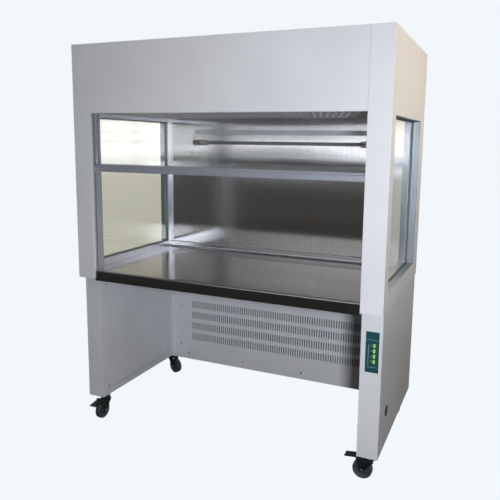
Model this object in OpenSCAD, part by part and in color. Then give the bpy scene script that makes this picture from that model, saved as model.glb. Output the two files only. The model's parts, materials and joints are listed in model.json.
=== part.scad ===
// Vertical laminar-flow clean bench: cabinet, sliding sash, worktop, stand and castors.
// Origin at the floor, under the middle of the cabinet. Front is -Y, up is +Z. Millimetres.

/* [Cabinet] */
// Overall width of the cabinet
cabinet_w = 1300; // [1200:10:1400]
// Overall depth of the cabinet
cabinet_d = 720; // [700:10:760]
// Height of the roof above the floor
cabinet_h = 1620; // [1616:2:1650]
// Height of the seam between the stand and the cabinet
seam_z = 662; // [656:1:668]
// Thickness of the painted steel sheet
sheet = 1.5; // [1.2:0.1:2]
// Width of each front post
post_w = 81; // [75:1:90]
// Depth of the post's return along the side
post_return = 50; // [40:1:55]
// Depth of the post's lip beside the opening
post_lip = 14; // [10:1:15]
// Height of the fascia over the opening
fascia_h = 274; // [260:1:280]

/* [Chamber] */
// Distance from the outer side to the inner wall of the chamber
wall_in = 48; // [46:1:52]
// Distance from the cabinet's back to the chamber's back liner
liner_in = 70; // [66:1:80]
// Height of the ceiling plate's underside
ceiling_z = 1353.5; // [1350:0.5:1358]
// Thickness of the stainless liners
liner_t = 1.2; // [1:0.1:1.5]
// Distance from the cabinet's front to the window
win_front_in = 66; // [64:1:70]
// Length of the side window
win_len = 560; // [520:2:564]
// Height of the window's sill
win_sill_z = 726; // [726:1:740]
// Height of the side window
win_h = 610; // [600:1:612]
// Distance from the outer side to the glass
glass_in = 33; // [26:1:36]
// Thickness of every pane
glass_t = 6; // [5:0.5:6]

/* [Worktop] */
// Height of the working surface
worktop_z = 698; // [696:1:698]
// Height of the worktop's front apron
apron_h = 45; // [40:1:48]
// Distance of the apron behind the posts' faces
apron_in = 6; // [4:1:8]
// Height of the upstand along the back
upstand_h = 28; // [20:1:28]

/* [Sash] */
// Height of the sash rail's lower edge at rest
rail_z = 1113; // [890:1:1113]
// Height of the sash rail
rail_h = 22; // [18:1:24]
// Height of the sliding pane
pane_h = 484; // [470:1:486]
// Depth of each guide rail
guide_d = 50; // [48:1:52]
// Width of each guide rail
guide_w = 25; // [22:1:26]

/* [Lamp] */
// Height of the lamp tube's axis
tube_z = 1236; // [1225:1:1250]
// Diameter of the lamp tube
tube_d = 16; // [16:1:18]
// Length of the tube between its caps
tube_len = 849; // [840:1:860]

/* [Stand] */
// Step from the cabinet's side in to the stand's side
stand_in = 4; // [3:1:6]
// Step from the cabinet's front back to the stand's front
stand_back = 35; // [30:1:40]
// Width of each leg cabinet
leg_w = 77; // [75:1:80]
// Height of the underside of the stand
stand_z = 115; // [115:1:115]
// Distance from the back to the intake panel
intake_in = 124; // [120:1:130]

/* [Intake slots] */
// Rows of slots
slot_rows = 4; // [2:1:5]
// Slots in each row
slot_cols = 76; // [40:1:78]
// Distance between slots along a row
slot_pitch_x = 11.75; // [11:0.05:11.8]
// Distance between rows
slot_pitch_z = 56.7; // [50:0.1:58]
// Height of a slot
slot_h = 37; // [30:1:40]
// Width of a slot
slot_w = 4.8; // [4:0.1:5]
// Height of the lowest row's lower edge
slot_z = 223; // [210:1:230]

/* [Controls] */
// Width of the control panel
panel_w = 47; // [46:1:50]
// Height of the control panel
panel_h = 148; // [145:1:155]
// Height of the control panel's lower edge
panel_z = 444; // [435:1:455]
// Number of keys
key_count = 4; // [4:1:4]
// Distance between keys
key_pitch = 19.3; // [18:0.1:20]
// Travel of a key
key_travel = 1; // [0.8:0.1:1]

/* [Castors] */
// Diameter of a wheel
wheel_d = 75; // [75:1:75]
// Width of a wheel
wheel_w = 25; // [24:1:25]
// Distance from the swivel axis to the wheel's axle
castor_trail = 27; // [26:1:28]
// Heading of the front left castor's wheel, from +X
front_left_heading = -88; // [-95:1:-70]
// Heading of the front right castor's wheel, from +X
front_right_heading = 180; // [170:1:190]

/* [Hidden] */
$fn = 48;

// Finishes
PAINT = [0.86, 0.86, 0.87];
STAINLESS = [0.55, 0.55, 0.56];
ALUMINIUM = [0.68, 0.7, 0.76];
GLASS = [0.8, 0.88, 0.82, 0.4];
BLACK = [0.08, 0.09, 0.09];
WHITE = [0.95, 0.95, 0.95];
ZINC = [0.6, 0.62, 0.64];

// Planes of the cabinet
side_x = cabinet_w / 2;
front_y = -cabinet_d / 2;
back_y = cabinet_d / 2;
roof_z = cabinet_h - sheet;
post_x = side_x - post_w;
fascia_z = cabinet_h - fascia_h;
wall_x = side_x - wall_in;
liner_y = back_y - liner_in;
seam_gap = 0.4;
hem_r = 4;
overlap = 1;

// Window opening, its frame and its glass
win_y0 = front_y + win_front_in;
win_y1 = win_y0 + win_len;
win_z1 = win_sill_z + win_h;
glass_x = side_x - glass_in - glass_t;
gasket_w = 5;
gasket_t = 12;
glass_edge = 4;

// Supply filter, plenum and fan
plenum_y0 = front_y + 76;
plenum_t = 1.5;
deck_z = 1545;
filter_h = 70;
filter_in = 12;
filter_z = ceiling_z + 4.5;
ledge_w = 28;
pleat_pitch = 24;
fan_y = 5;
impeller_r = 150;
impeller_h = 92;
impeller_z = 1444;
impeller_eye_r = 92;
blade_count = 9;
shaft_r = 8;
running_gap = 0.05;
stator_r = 44;

// Lamp
holder_x = 442;
holder_t = 40;
holder_h = 28;
batten_z = tube_z + 39;
batten_h = 22;
batten_d = 24;
tube_y = liner_y - 34;

// Sash
guide_y0 = front_y + 25;
guide_y1 = guide_y0 + guide_d;
guide_x0 = wall_x - guide_w;
guide_top = 1612;
groove_w = 8;
groove_deep = 20;
front_groove_y = guide_y0 + 10;
rear_groove_y = guide_y0 + 36;
pane_x = guide_x0 + 11;
rail_y0 = front_y + 16;
rail_x = guide_x0 - 2;
pane_foot = 8;
rail_lip = 8;
shoe_h = 40;
shoe_gap = 0.5;
fixed_pane_h = 240;

// Worktop
nose_r = 6;
worktop_t = 1.5;
apron_y = front_y + apron_in;
apron_x = post_x - 1.5;

// Stand
leg_out_x = side_x - stand_in;
leg_in_x = leg_out_x - leg_w;
leg_y0 = front_y + stand_back;
intake_y = back_y - intake_in;
angle_w = 25;
angle_t = 3;
border_w = 28;
access_y0 = leg_y0 + border_w;
access_y1 = intake_y - border_w;
access_z0 = stand_z + border_w;
access_z1 = seam_z - border_w;
beam_w = 40;
beam_h = 60;
beam_t = 2;
slots_w = (slot_cols - 1) * slot_pitch_x;

// Controls
panel_x = side_x - 38.5;
panel_t = 4;
key_w = 7;
key_h = 13;
key_gap = 0.4;
key_out = 1.2;
key_d = panel_t + key_out - key_travel - 0.2;
key_x = panel_x + 7;
key_z = panel_z + 34;
inlet_r = 20;
inlet_y = -200;
inlet_z = 252;
inlet_flange = 3;

// Castors: swivel axes, then heights within one castor
castor_x = (leg_out_x + leg_in_x) / 2;
castor_y_front = leg_y0 + 63;
castor_y_rear = back_y - 60;
rear_left_heading = -20;
rear_right_heading = -150;
wheel_r = wheel_d / 2;
plate_t = 3;
plate_w = 60;
plate_l = 78;
race_r = 20;
race_z = stand_z - plate_t - 4;
head_top = race_z - 0.5;
crown_z = wheel_d + 6;
crown_t = 4;
crown_r = 21;
pin_r = 5;
axle_r = 4;
leg_gap = 2;
cheek_t = 3;
cheek_y = wheel_w / 2 + leg_gap;
pedal_x = 40;
pedal_z = crown_z + 6;
pedal_pin_r = 2.5;
pedal_tip = 96;
pedal_w = 32;

// A rectangular block between two corners.
module block(lo, hi) {
    translate(lo) cube(hi - lo);
}

// The children as drawn, for the right side, or mirrored for the left side.
module on_side(side) {
    mirror([side == "left" ? 1 : 0, 0, 0]) children();
}

// The children on the right side and again on the left side.
module both_sides() {
    on_side("right") children();
    on_side("left") children();
}

// A rectangular ring of sheet that lies in a plane of constant X.
module x_ring(x0, x1, outer_lo, outer_hi, inner_lo, inner_hi) {
    difference() {
        block([x0, outer_lo[0], outer_lo[1]], [x1, outer_hi[0], outer_hi[1]]);
        block([x0 - overlap, inner_lo[0], inner_lo[1]], [x1 + overlap, inner_hi[0], inner_hi[1]]);
    }
}

// ---- Cabinet shell ----

// A folded front post with its side return, its lip and a foot plate.
module post(side) {
    inner_x = post_x + sheet;
    outer_x = side_x - sheet;
    color(PAINT) on_side(side) {
        translate([0, 0, seam_z]) linear_extrude(roof_z - seam_z) polygon([
            [post_x, front_y], [side_x, front_y],
            [side_x, front_y + post_return], [outer_x, front_y + post_return],
            [outer_x, front_y + sheet], [inner_x, front_y + sheet],
            [inner_x, front_y + post_lip], [post_x, front_y + post_lip]]);
        block([inner_x - 0.5, front_y + sheet - 0.5, seam_z],
            [outer_x + 0.5, front_y + post_return, seam_z + sheet]);
    }
}

module fascia_panel() {
    color(PAINT) {
        block([-post_x + seam_gap, front_y, fascia_z + hem_r], [post_x - seam_gap, front_y + sheet, roof_z]);
        translate([-post_x + seam_gap, front_y + hem_r, fascia_z + hem_r]) rotate([0, 90, 0])
            cylinder(r = hem_r, h = 2 * (post_x - seam_gap));
    }
}

// A side panel with its window opening and a short hem under it.
module upper_side(side) {
    panel_y0 = front_y + post_return + seam_gap;
    color(PAINT) on_side(side) {
        x_ring(side_x - sheet, side_x, [panel_y0, seam_z], [back_y, roof_z],
            [win_y0, win_sill_z], [win_y1, win_z1]);
        block([leg_out_x - 6, panel_y0, seam_z], [side_x - sheet + 0.5, back_y - sheet, seam_z + sheet]);
    }
}

module roof_panel() {
    color(PAINT) block([-side_x, front_y, roof_z], [side_x, back_y, cabinet_h]);
}

module upper_back_panel() {
    edge_x = side_x - sheet;
    color(PAINT) block([-edge_x, back_y - sheet, seam_z + sheet], [edge_x, back_y, roof_z]);
}

// ---- Chamber linings ----

module back_liner() {
    edge_x = wall_x + liner_t;
    color(STAINLESS) block([-edge_x, liner_y, worktop_z], [edge_x, liner_y + liner_t, ceiling_z]);
}

// The two inner walls around the windows.
module side_liners() {
    color(STAINLESS) both_sides()
        x_ring(wall_x, wall_x + liner_t, [win_y0 - 6, worktop_z], [liner_y, ceiling_z],
            [win_y0, win_sill_z], [win_y1, win_z1]);
}

// The stainless reveals that join each outer panel to the inner wall.
module window_frames() {
    color(STAINLESS) both_sides()
        x_ring(wall_x + liner_t, side_x - sheet,
            [win_y0 - liner_t, win_sill_z - liner_t], [win_y1 + liner_t, win_z1 + liner_t],
            [win_y0, win_sill_z], [win_y1, win_z1]);
}

module side_glass() {
    color(GLASS) both_sides()
        block([glass_x, win_y0 + glass_edge, win_sill_z + glass_edge],
            [glass_x + glass_t, win_y1 - glass_edge, win_z1 - glass_edge]);
}

// U-section rubber around each side pane.
module window_gaskets() {
    lip_x0 = glass_x - (gasket_t - glass_t) / 2;
    color(BLACK) both_sides() difference() {
        x_ring(lip_x0, lip_x0 + gasket_t, [win_y0, win_sill_z], [win_y1, win_z1],
            [win_y0 + gasket_w, win_sill_z + gasket_w], [win_y1 - gasket_w, win_z1 - gasket_w]);
        block([glass_x, win_y0 + glass_edge, win_sill_z + glass_edge],
            [glass_x + glass_t, win_y1 - glass_edge, win_z1 - glass_edge]);
    }
}

// The perforated ceiling of the chamber.
module diffuser_plate() {
    rows = 6;
    cols = 40;
    hole_w = 18;
    hole_d = 70;
    step_x = 28.5;
    step_y = 90;
    mid_y = (plenum_y0 + liner_y) / 2;
    color(WHITE) difference() {
        block([-wall_x, plenum_y0, ceiling_z], [wall_x, liner_y, ceiling_z + sheet]);
        for (i = [0 : cols - 1], j = [0 : rows - 1])
            translate([(i - (cols - 1) / 2) * step_x, mid_y + (j - (rows - 1) / 2) * step_y, ceiling_z])
                cube([hole_w, hole_d, 4 * sheet], center = true);
    }
}

// ---- Air supply ----

// Four walls over the chamber and the ledge that the filter rests on.
module plenum_box() {
    z0 = ceiling_z + sheet;
    ledge_t = filter_z - z0;
    color(PAINT) {
        difference() {
            block([-wall_x, plenum_y0, z0], [wall_x, liner_y, deck_z]);
            block([-wall_x + plenum_t, plenum_y0 + plenum_t, z0 - overlap],
                [wall_x - plenum_t, liner_y - plenum_t, deck_z + overlap]);
        }
        difference() {
            block([-wall_x + 1, plenum_y0 + 1, z0], [wall_x - 1, liner_y - 1, z0 + ledge_t]);
            block([-wall_x + ledge_w, plenum_y0 + ledge_w, z0 - overlap],
                [wall_x - ledge_w, liner_y - ledge_w, z0 + ledge_t + overlap]);
        }
    }
}

module filter_frame() {
    frame_t = 18;
    x1 = wall_x - filter_in;
    y0 = plenum_y0 + filter_in;
    y1 = liner_y - filter_in;
    color(ALUMINIUM) difference() {
        block([-x1, y0, filter_z], [x1, y1, filter_z + filter_h]);
        block([-x1 + frame_t, y0 + frame_t, filter_z - overlap],
            [x1 - frame_t, y1 - frame_t, filter_z + filter_h + overlap]);
    }
}

// Folded filter paper, as one zigzag slab.
module filter_media() {
    media_x = wall_x - filter_in - 18;
    y0 = plenum_y0 + filter_in + 18;
    y1 = liner_y - filter_in - 18;
    paper_t = 6;
    fold_h = filter_h - paper_t - 4;
    folds = 2 * floor(media_x / pleat_pitch);
    step = 2 * media_x / (2 * folds);
    lower = [for (i = [0 : 2 * folds]) [-media_x + i * step, (i % 2) * fold_h]];
    upper = [for (i = [2 * folds : -1 : 0]) [-media_x + i * step, (i % 2) * fold_h + paper_t]];
    color(WHITE) translate([0, y1, filter_z + 2]) rotate([90, 0, 0])
        linear_extrude(y1 - y0) polygon(concat(lower, upper));
}

// The deck between the suction space and the plenum, with the fan's inlet ring and hanger.
module fan_deck() {
    ring_t = 2;
    ring_h = 22;
    eye_r = impeller_eye_r - 6;
    hanger_w = 30;
    color(ZINC) translate([0, fan_y, 0]) {
        difference() {
            block([-wall_x, plenum_y0 - fan_y, deck_z], [wall_x, liner_y - fan_y, deck_z + sheet]);
            translate([0, 0, deck_z - overlap]) cylinder(r = eye_r, h = sheet + 2 * overlap, $fn = 72);
        }
        block([-wall_x, plenum_y0 - fan_y, deck_z + 0.5], [wall_x, plenum_y0 - fan_y + sheet, roof_z]);
        translate([0, 0, deck_z - ring_h]) rotate_extrude($fn = 72)
            translate([eye_r, 0]) square([ring_t, ring_h + sheet / 2]);
        for (turn = [0, 90]) rotate([0, 0, turn])
            block([-eye_r - 8, -hanger_w / 2, deck_z + sheet - 0.3],
                [eye_r + 8, hanger_w / 2, deck_z + sheet + 4]);
    }
}

// Backward-curved wheel: back plate, blades, shroud ring and a bored hub.
module blower_impeller() {
    plate = 2;
    shroud_z = impeller_z + impeller_h - plate;
    blade_r = 210;
    blade_out = 46;
    color(ZINC) translate([0, fan_y, 0]) {
        difference() {
            union() {
                translate([0, 0, impeller_z]) cylinder(r = impeller_r, h = plate, $fn = 96);
                translate([0, 0, impeller_z]) cylinder(r = 20, h = 40);
            }
            translate([0, 0, impeller_z - overlap]) cylinder(r = shaft_r + running_gap, h = 60);
        }
        translate([0, 0, shroud_z]) difference() {
            cylinder(r = impeller_r, h = plate, $fn = 96);
            translate([0, 0, -overlap]) cylinder(r = impeller_eye_r, h = plate + 2 * overlap, $fn = 96);
        }
        for (i = [0 : blade_count - 1]) rotate([0, 0, i * 360 / blade_count])
            translate([0, 0, impeller_z + 1]) linear_extrude(impeller_h - 2) intersection() {
                translate([impeller_eye_r + 28, blade_r - blade_out]) difference() {
                    circle(r = blade_r, $fn = 96);
                    circle(r = blade_r - 2, $fn = 96);
                }
                translate([impeller_eye_r + 3, -90]) square([impeller_r - impeller_eye_r - 22, 130]);
            }
    }
}

// Motor body hung from the deck, with the shaft that carries the impeller.
module blower_motor() {
    body_z0 = impeller_z + 46;
    color(BLACK) translate([0, fan_y, 0]) {
        translate([0, 0, body_z0]) cylinder(r = stator_r, h = deck_z + sheet - 0.3 - body_z0);
        translate([0, 0, impeller_z + 2]) cylinder(r = shaft_r, h = 50);
    }
}

// ---- Lamp ----

module lamp_batten() {
    color(ALUMINIUM) block([-holder_x, liner_y - batten_d, batten_z],
        [holder_x, liner_y, batten_z + batten_h]);
}

// A lampholder on the wall at each end, with a socket for the tube's cap.
module lamp_holders() {
    socket_x = holder_x - holder_t;
    color(BLACK) both_sides() difference() {
        union() {
            block([socket_x, tube_y, tube_z - holder_h / 2], [holder_x, liner_y, tube_z + holder_h / 2]);
            translate([socket_x, tube_y, tube_z]) rotate([0, 90, 0])
                cylinder(r = holder_h / 2, h = holder_t);
        }
        translate([socket_x - overlap, tube_y, tube_z]) rotate([0, 90, 0])
            cylinder(r = tube_d / 2 + 0.3, h = tube_len / 2 - socket_x + overlap + 1);
    }
}

module lamp_tube() {
    color(WHITE) translate([-tube_len / 2, tube_y, tube_z]) rotate([0, 90, 0])
        cylinder(r = tube_d / 2, h = tube_len);
}

// ---- Sash ----

// Twin-track aluminium guides on both inner walls.
module guide_rails() {
    color(ALUMINIUM) both_sides() difference() {
        block([guide_x0, guide_y0, worktop_z - worktop_t], [wall_x, guide_y1, guide_top]);
        for (track = [[front_groove_y, worktop_z], [rear_groove_y, rail_z + rail_h + rail_lip]])
            block([guide_x0 - overlap, track[0] - groove_w / 2, track[1]],
                [guide_x0 + groove_deep, track[0] + groove_w / 2, guide_top + overlap]);
    }
}

module fixed_pane() {
    z0 = rail_z + rail_h + rail_lip;
    color(GLASS) block([-pane_x, rear_groove_y - glass_t / 2, z0],
        [pane_x, rear_groove_y + glass_t / 2, z0 + fixed_pane_h]);
}

module sash_glass() {
    z0 = rail_z + pane_foot;
    color(GLASS) block([-pane_x, front_groove_y - glass_t / 2, z0],
        [pane_x, front_groove_y + glass_t / 2, z0 + pane_h]);
}

// The handle rail along the sash's lower edge, with a taller channel for the pane.
module sash_rail() {
    y0 = front_groove_y - glass_t / 2 - 3;
    y1 = front_groove_y + glass_t / 2 + 3;
    grip_d = 7;
    grip_h = 8;
    color(ALUMINIUM) difference() {
        union() {
            block([-rail_x, rail_y0, rail_z], [rail_x, y1, rail_z + rail_h]);
            block([-rail_x, y0, rail_z], [rail_x, y1, rail_z + rail_h + rail_lip]);
        }
        block([-rail_x - overlap, front_groove_y - glass_t / 2, rail_z + pane_foot],
            [rail_x + overlap, front_groove_y + glass_t / 2, rail_z + rail_h + rail_lip + overlap]);
        block([-rail_x - overlap, rail_y0 + 3, rail_z - overlap],
            [rail_x + overlap, rail_y0 + 3 + grip_d, rail_z + grip_h]);
    }
}

// Nylon shoes on the pane's corners, running in the front track.
module sash_shoes() {
    shoe_w = groove_w - 2 * shoe_gap;
    foot_z = rail_z + pane_foot;
    color(WHITE) both_sides() for (z = [foot_z, foot_z + pane_h - shoe_h])
        block([pane_x, front_groove_y - shoe_w / 2, z],
            [guide_x0 + groove_deep - shoe_gap, front_groove_y + shoe_w / 2, z + shoe_h]);
}

// ---- Worktop ----

// Section of the worktop, front to back: apron, rounded nose and skin.
function nose(radius, steps) = [for (i = [0 : steps])
    [apron_y + nose_r - radius * cos(i * 90 / steps), worktop_z - nose_r + radius * sin(i * 90 / steps)]];

module worktop_section(y_back) {
    steps = 6;
    inner_r = nose_r - worktop_t;
    inside = nose(inner_r, steps);
    polygon(concat(
        [[apron_y, worktop_z - apron_h]],
        nose(nose_r, steps),
        [[y_back, worktop_z], [y_back, worktop_z - worktop_t]],
        [for (i = [steps : -1 : 0]) inside[i]],
        [[apron_y + worktop_t, worktop_z - apron_h]]));
}

module worktop() {
    front_part = front_y + post_lip + 2;
    up_t = 1.5;
    color(STAINLESS) {
        translate([-apron_x, 0, 0]) rotate([90, 0, 90]) linear_extrude(2 * apron_x)
            worktop_section(front_part + overlap);
        difference() {
            block([-wall_x, front_part, worktop_z - worktop_t], [wall_x, liner_y, worktop_z]);
            // Notches that the guide rails' feet stand in.
            both_sides() block([guide_x0, guide_y0, worktop_z - worktop_t - overlap],
                [wall_x + overlap, guide_y1, worktop_z + overlap]);
        }
        block([-wall_x, liner_y - up_t, worktop_z - 0.5], [wall_x, liner_y, worktop_z + upstand_h]);
    }
}

// The painted pan that closes the worktop from below, with its stiffening folds.
module worktop_pan() {
    x1 = leg_in_x - 1;
    y0 = apron_y + worktop_t;
    z0 = worktop_z - apron_h + 2;
    z1 = worktop_z - worktop_t;
    folds = 4;
    step = (intake_y - y0) / folds;
    color(PAINT) {
        block([-x1, y0, z0], [x1, intake_y - 0.5, z0 + sheet]);
        for (i = [1 : folds - 1])
            block([-x1, y0 + i * step, z0 + sheet - 0.3], [x1, y0 + i * step + sheet, z1]);
    }
}

// Channel that carries the worktop above the intake panel.
module rear_beam() {
    y0 = intake_y + sheet;
    z1 = worktop_z - worktop_t;
    color(PAINT) difference() {
        block([-leg_in_x + 1, y0, z1 - beam_h], [leg_in_x - 1, y0 + beam_w, z1]);
        block([-leg_in_x, y0 + beam_t, z1 - beam_h - overlap],
            [leg_in_x, y0 + beam_w - beam_t, z1 - beam_t]);
    }
}

// ---- Stand ----

// An upright steel angle with its corner at the origin, opening towards +X and +Y.
module steel_angle(length) {
    linear_extrude(length) polygon([[0, 0], [angle_w, 0], [angle_w, angle_t],
        [angle_t, angle_t], [angle_t, angle_w], [0, angle_w]]);
}

// The frame inside each leg: base plate, top plate and four upright angles.
module leg_frames() {
    x0 = leg_in_x + sheet;
    x1 = leg_out_x - sheet;
    y0 = leg_y0 + sheet;
    y1 = back_y - sheet;
    rise = seam_z - stand_z - angle_t;
    color(ZINC) both_sides() {
        block([x0, y0, stand_z], [x1, y1, stand_z + angle_t]);
        block([x0, y0, seam_z - angle_t], [x1, y1, seam_z]);
        translate([x0, y0, stand_z + 1]) steel_angle(rise);
        translate([x1, y0, stand_z + 1]) rotate([0, 0, 90]) steel_angle(rise);
        translate([x1, y1, stand_z + 1]) rotate([0, 0, 180]) steel_angle(rise);
        translate([x0, y1, stand_z + 1]) rotate([0, 0, 270]) steel_angle(rise);
    }
}

module leg_outer_panel(side) {
    color(PAINT) on_side(side)
        block([leg_out_x - sheet, leg_y0, stand_z], [leg_out_x, back_y - sheet, seam_z]);
}

// The inner side of a leg, with the access opening that its cover closes.
module leg_inner_panel(side) {
    color(PAINT) on_side(side)
        x_ring(leg_in_x, leg_in_x + sheet, [leg_y0 + sheet, stand_z], [back_y - sheet, seam_z],
            [access_y0, access_z0], [access_y1, access_z1]);
}

// Screwed covers that sit inside the access openings, a little below the border.
module leg_access_covers() {
    gap = 1;
    inset = 0.8;
    color(PAINT) both_sides()
        block([leg_in_x + inset, access_y0 + gap, access_z0 + gap],
            [leg_in_x + inset + sheet, access_y1 - gap, access_z1 - gap]);
}

module leg_front_cover(side) {
    color(PAINT) on_side(side)
        block([leg_in_x, leg_y0, stand_z], [leg_out_x - sheet, leg_y0 + sheet, seam_z]);
}

// One upright slot with round ends, drawn flat.
module slot_outline() {
    r = slot_w / 2;
    translate([-r, r]) square([slot_w, slot_h - slot_w]);
    translate([0, r]) circle(r = r, $fn = 16);
    translate([0, slot_h - r]) circle(r = r, $fn = 16);
}

module intake_panel() {
    x1 = leg_in_x - seam_gap;
    z1 = worktop_z - apron_h - 2;
    color(PAINT) translate([0, intake_y + sheet, 0]) rotate([90, 0, 0]) linear_extrude(sheet)
        difference() {
            translate([-x1, stand_z]) square([2 * x1, z1 - stand_z]);
            for (i = [0 : slot_cols - 1], j = [0 : slot_rows - 1])
                translate([i * slot_pitch_x - slots_w / 2, slot_z + j * slot_pitch_z]) slot_outline();
        }
}

module lower_back_panel() {
    color(PAINT) block([-leg_out_x, back_y - sheet, stand_z], [leg_out_x, back_y, seam_z]);
}

module compartment_floor() {
    x1 = leg_in_x - seam_gap;
    color(PAINT) block([-x1, intake_y + sheet, stand_z], [x1, back_y - sheet, stand_z + sheet]);
}

// Washable filter mat in a frame behind the slots.
module prefilter() {
    edge = 22;
    mat_t = 20;
    x1 = slots_w / 2 + edge;
    z1 = slot_z + (slot_rows - 1) * slot_pitch_z + slot_h + edge;
    color(WHITE) block([-x1, intake_y + 5, slot_z - edge], [x1, intake_y + 5 + mat_t, z1]);
}

// ---- Controls ----

module control_panel() {
    y0 = leg_y0 - panel_t;
    color([0.12, 0.29, 0.3]) difference() {
        block([panel_x - panel_w / 2, y0, panel_z], [panel_x + panel_w / 2, leg_y0, panel_z + panel_h]);
        for (i = [0 : key_count - 1])
            block([key_x - key_w / 2 - key_gap, y0 - overlap, key_z + i * key_pitch - key_gap],
                [key_x + key_w / 2 + key_gap, leg_y0 + overlap, key_z + i * key_pitch + key_h + key_gap]);
    }
}

// A push key of the control panel, counted from the bottom.
module key(place) {
    y0 = leg_y0 - panel_t - key_out;
    z0 = key_z + place * key_pitch;
    color([0.56, 0.7, 0.4]) block([key_x - key_w / 2, y0, z0], [key_x + key_w / 2, y0 + key_d, z0 + key_h]);
}

// Round flanged appliance inlet with three contact pins in its well.
module power_inlet() {
    well_r = 14;
    color(BLACK) translate([leg_out_x, inlet_y, inlet_z]) rotate([0, 90, 0]) {
        difference() {
            cylinder(r = inlet_r, h = inlet_flange);
            translate([0, 0, 1]) cylinder(r = well_r, h = inlet_flange);
        }
        for (turn = [0, 120, 240]) rotate([0, 0, turn]) translate([well_r / 2, 0, 0.5])
            cylinder(r = 2, h = inlet_flange - 1);
    }
}

// A pan head screw, standing on z = 0.
module screw_head() {
    cylinder(r = 4.5, h = 1);
    translate([0, 0, 1]) cylinder(r1 = 4.5, r2 = 3, h = 0.8);
}

// Screws of the intake panel and of the access covers.
module panel_screws() {
    low_z = stand_z + 32;
    rail_zs = [stand_z + 78, stand_z + 281];
    cover_ys = [access_y0 + 14, (access_y0 + access_y1) / 2, access_y1 - 14];
    cover_zs = [access_z0 + 14, access_z1 - 14];
    color(ZINC) {
        translate([0, intake_y, 0]) rotate([90, 0, 0]) {
            for (x = [-464, -156, 156, 464]) translate([x, low_z, 0]) screw_head();
            for (x = [-511, 511], z = rail_zs) translate([x, z, 0]) screw_head();
        }
        both_sides() for (y = cover_ys, z = cover_zs)
            translate([leg_in_x + 0.8, y, z]) rotate([0, -90, 0]) screw_head();
    }
}

// ---- Castors ----

// The children at a castor's swivel axis, turned to its heading.
module at_castor(place, heading) {
    translate([place[0], place[1], 0]) rotate([0, 0, heading]) children();
}

// Places of the four swivel axes.
FRONT_LEFT = [-castor_x, castor_y_front];
FRONT_RIGHT = [castor_x, castor_y_front];
REAR_LEFT = [-castor_x, castor_y_rear];
REAR_RIGHT = [castor_x, castor_y_rear];

// The bolted top plates with their upper races and kingpins.
module castor_plates() {
    color(ZINC) for (place = [FRONT_LEFT, FRONT_RIGHT, REAR_LEFT, REAR_RIGHT]) translate(place) {
        block([-plate_w / 2, -plate_l / 2, stand_z - plate_t], [plate_w / 2, plate_l / 2, stand_z]);
        translate([0, 0, race_z]) cylinder(r = race_r, h = stand_z - race_z);
        translate([0, 0, crown_z + 1]) cylinder(r = pin_r, h = race_z - crown_z);
    }
}

// A cheek of the fork, drawn upright in X and Z, with an ear for the pedal on a braked castor.
module cheek_outline(braked) {
    end_r = 9;
    crown_top = crown_z + crown_t - 1;
    ear = [[pedal_x + 7, crown_z - 10], [pedal_x + 7, pedal_z + 5], [pedal_x - 8, pedal_z + 5]];
    polygon(concat([[-14, crown_top], [-16, crown_z - 6], [castor_trail - end_r, wheel_r],
        [castor_trail + end_r, wheel_r]], braked ? ear : [], [[pedal_x - 14, crown_top]]));
    translate([castor_trail, wheel_r]) circle(r = end_r);
}

// Pressed fork with its swivel head and axle. A braked fork has bored ears for the pedal's pin.
module castor_fork(place, heading, braked) {
    outer_y = cheek_y + cheek_t;
    color(BLACK) at_castor(place, heading) {
        difference() {
            union() {
                translate([0, 0, crown_z]) cylinder(r = crown_r, h = crown_t);
                block([0, -outer_y, crown_z], [pedal_x - 14, outer_y, crown_z + crown_t]);
                translate([0, 0, crown_z]) cylinder(r = race_r, h = head_top - crown_z);
                for (y = [-outer_y, cheek_y]) translate([0, y + cheek_t, 0]) rotate([90, 0, 0])
                    linear_extrude(cheek_t) cheek_outline(braked);
            }
            translate([0, 0, crown_z - overlap]) cylinder(r = pin_r + running_gap, h = 30);
            if (braked) translate([pedal_x, outer_y + overlap, pedal_z]) rotate([90, 0, 0])
                cylinder(r = pedal_pin_r + running_gap, h = 2 * outer_y + 2 * overlap);
        }
        translate([castor_trail, outer_y + 2, wheel_r]) rotate([90, 0, 0])
            cylinder(r = axle_r, h = 2 * outer_y + 4);
        for (y = [-outer_y, outer_y + 3]) translate([castor_trail, y, wheel_r]) rotate([90, 0, 0])
            cylinder(r = 6.5, h = 3, $fn = 6);
    }
}

// Section of a wheel: distance from the axle, then distance along it.
module wheel_section() {
    half = wheel_w / 2;
    crown = 5;
    bore = axle_r + running_gap;
    hub = 11;
    rim = wheel_r - 11;
    web = 5;
    difference() {
        union() {
            translate([bore, -half]) square([wheel_r - crown - bore, wheel_w]);
            translate([bore, -half + crown]) square([wheel_r - bore, wheel_w - 2 * crown]);
            for (y = [-half + crown, half - crown]) translate([wheel_r - crown, y]) circle(r = crown);
        }
        for (y = [-half - overlap, web]) translate([hub, y])
            square([rim - hub, half - web + overlap]);
    }
}

module castor_wheel(place, heading) {
    color([0.2, 0.22, 0.24]) at_castor(place, heading)
        translate([castor_trail, 0, wheel_r]) rotate([90, 0, 0]) rotate_extrude($fn = 64) wheel_section();
}

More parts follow.
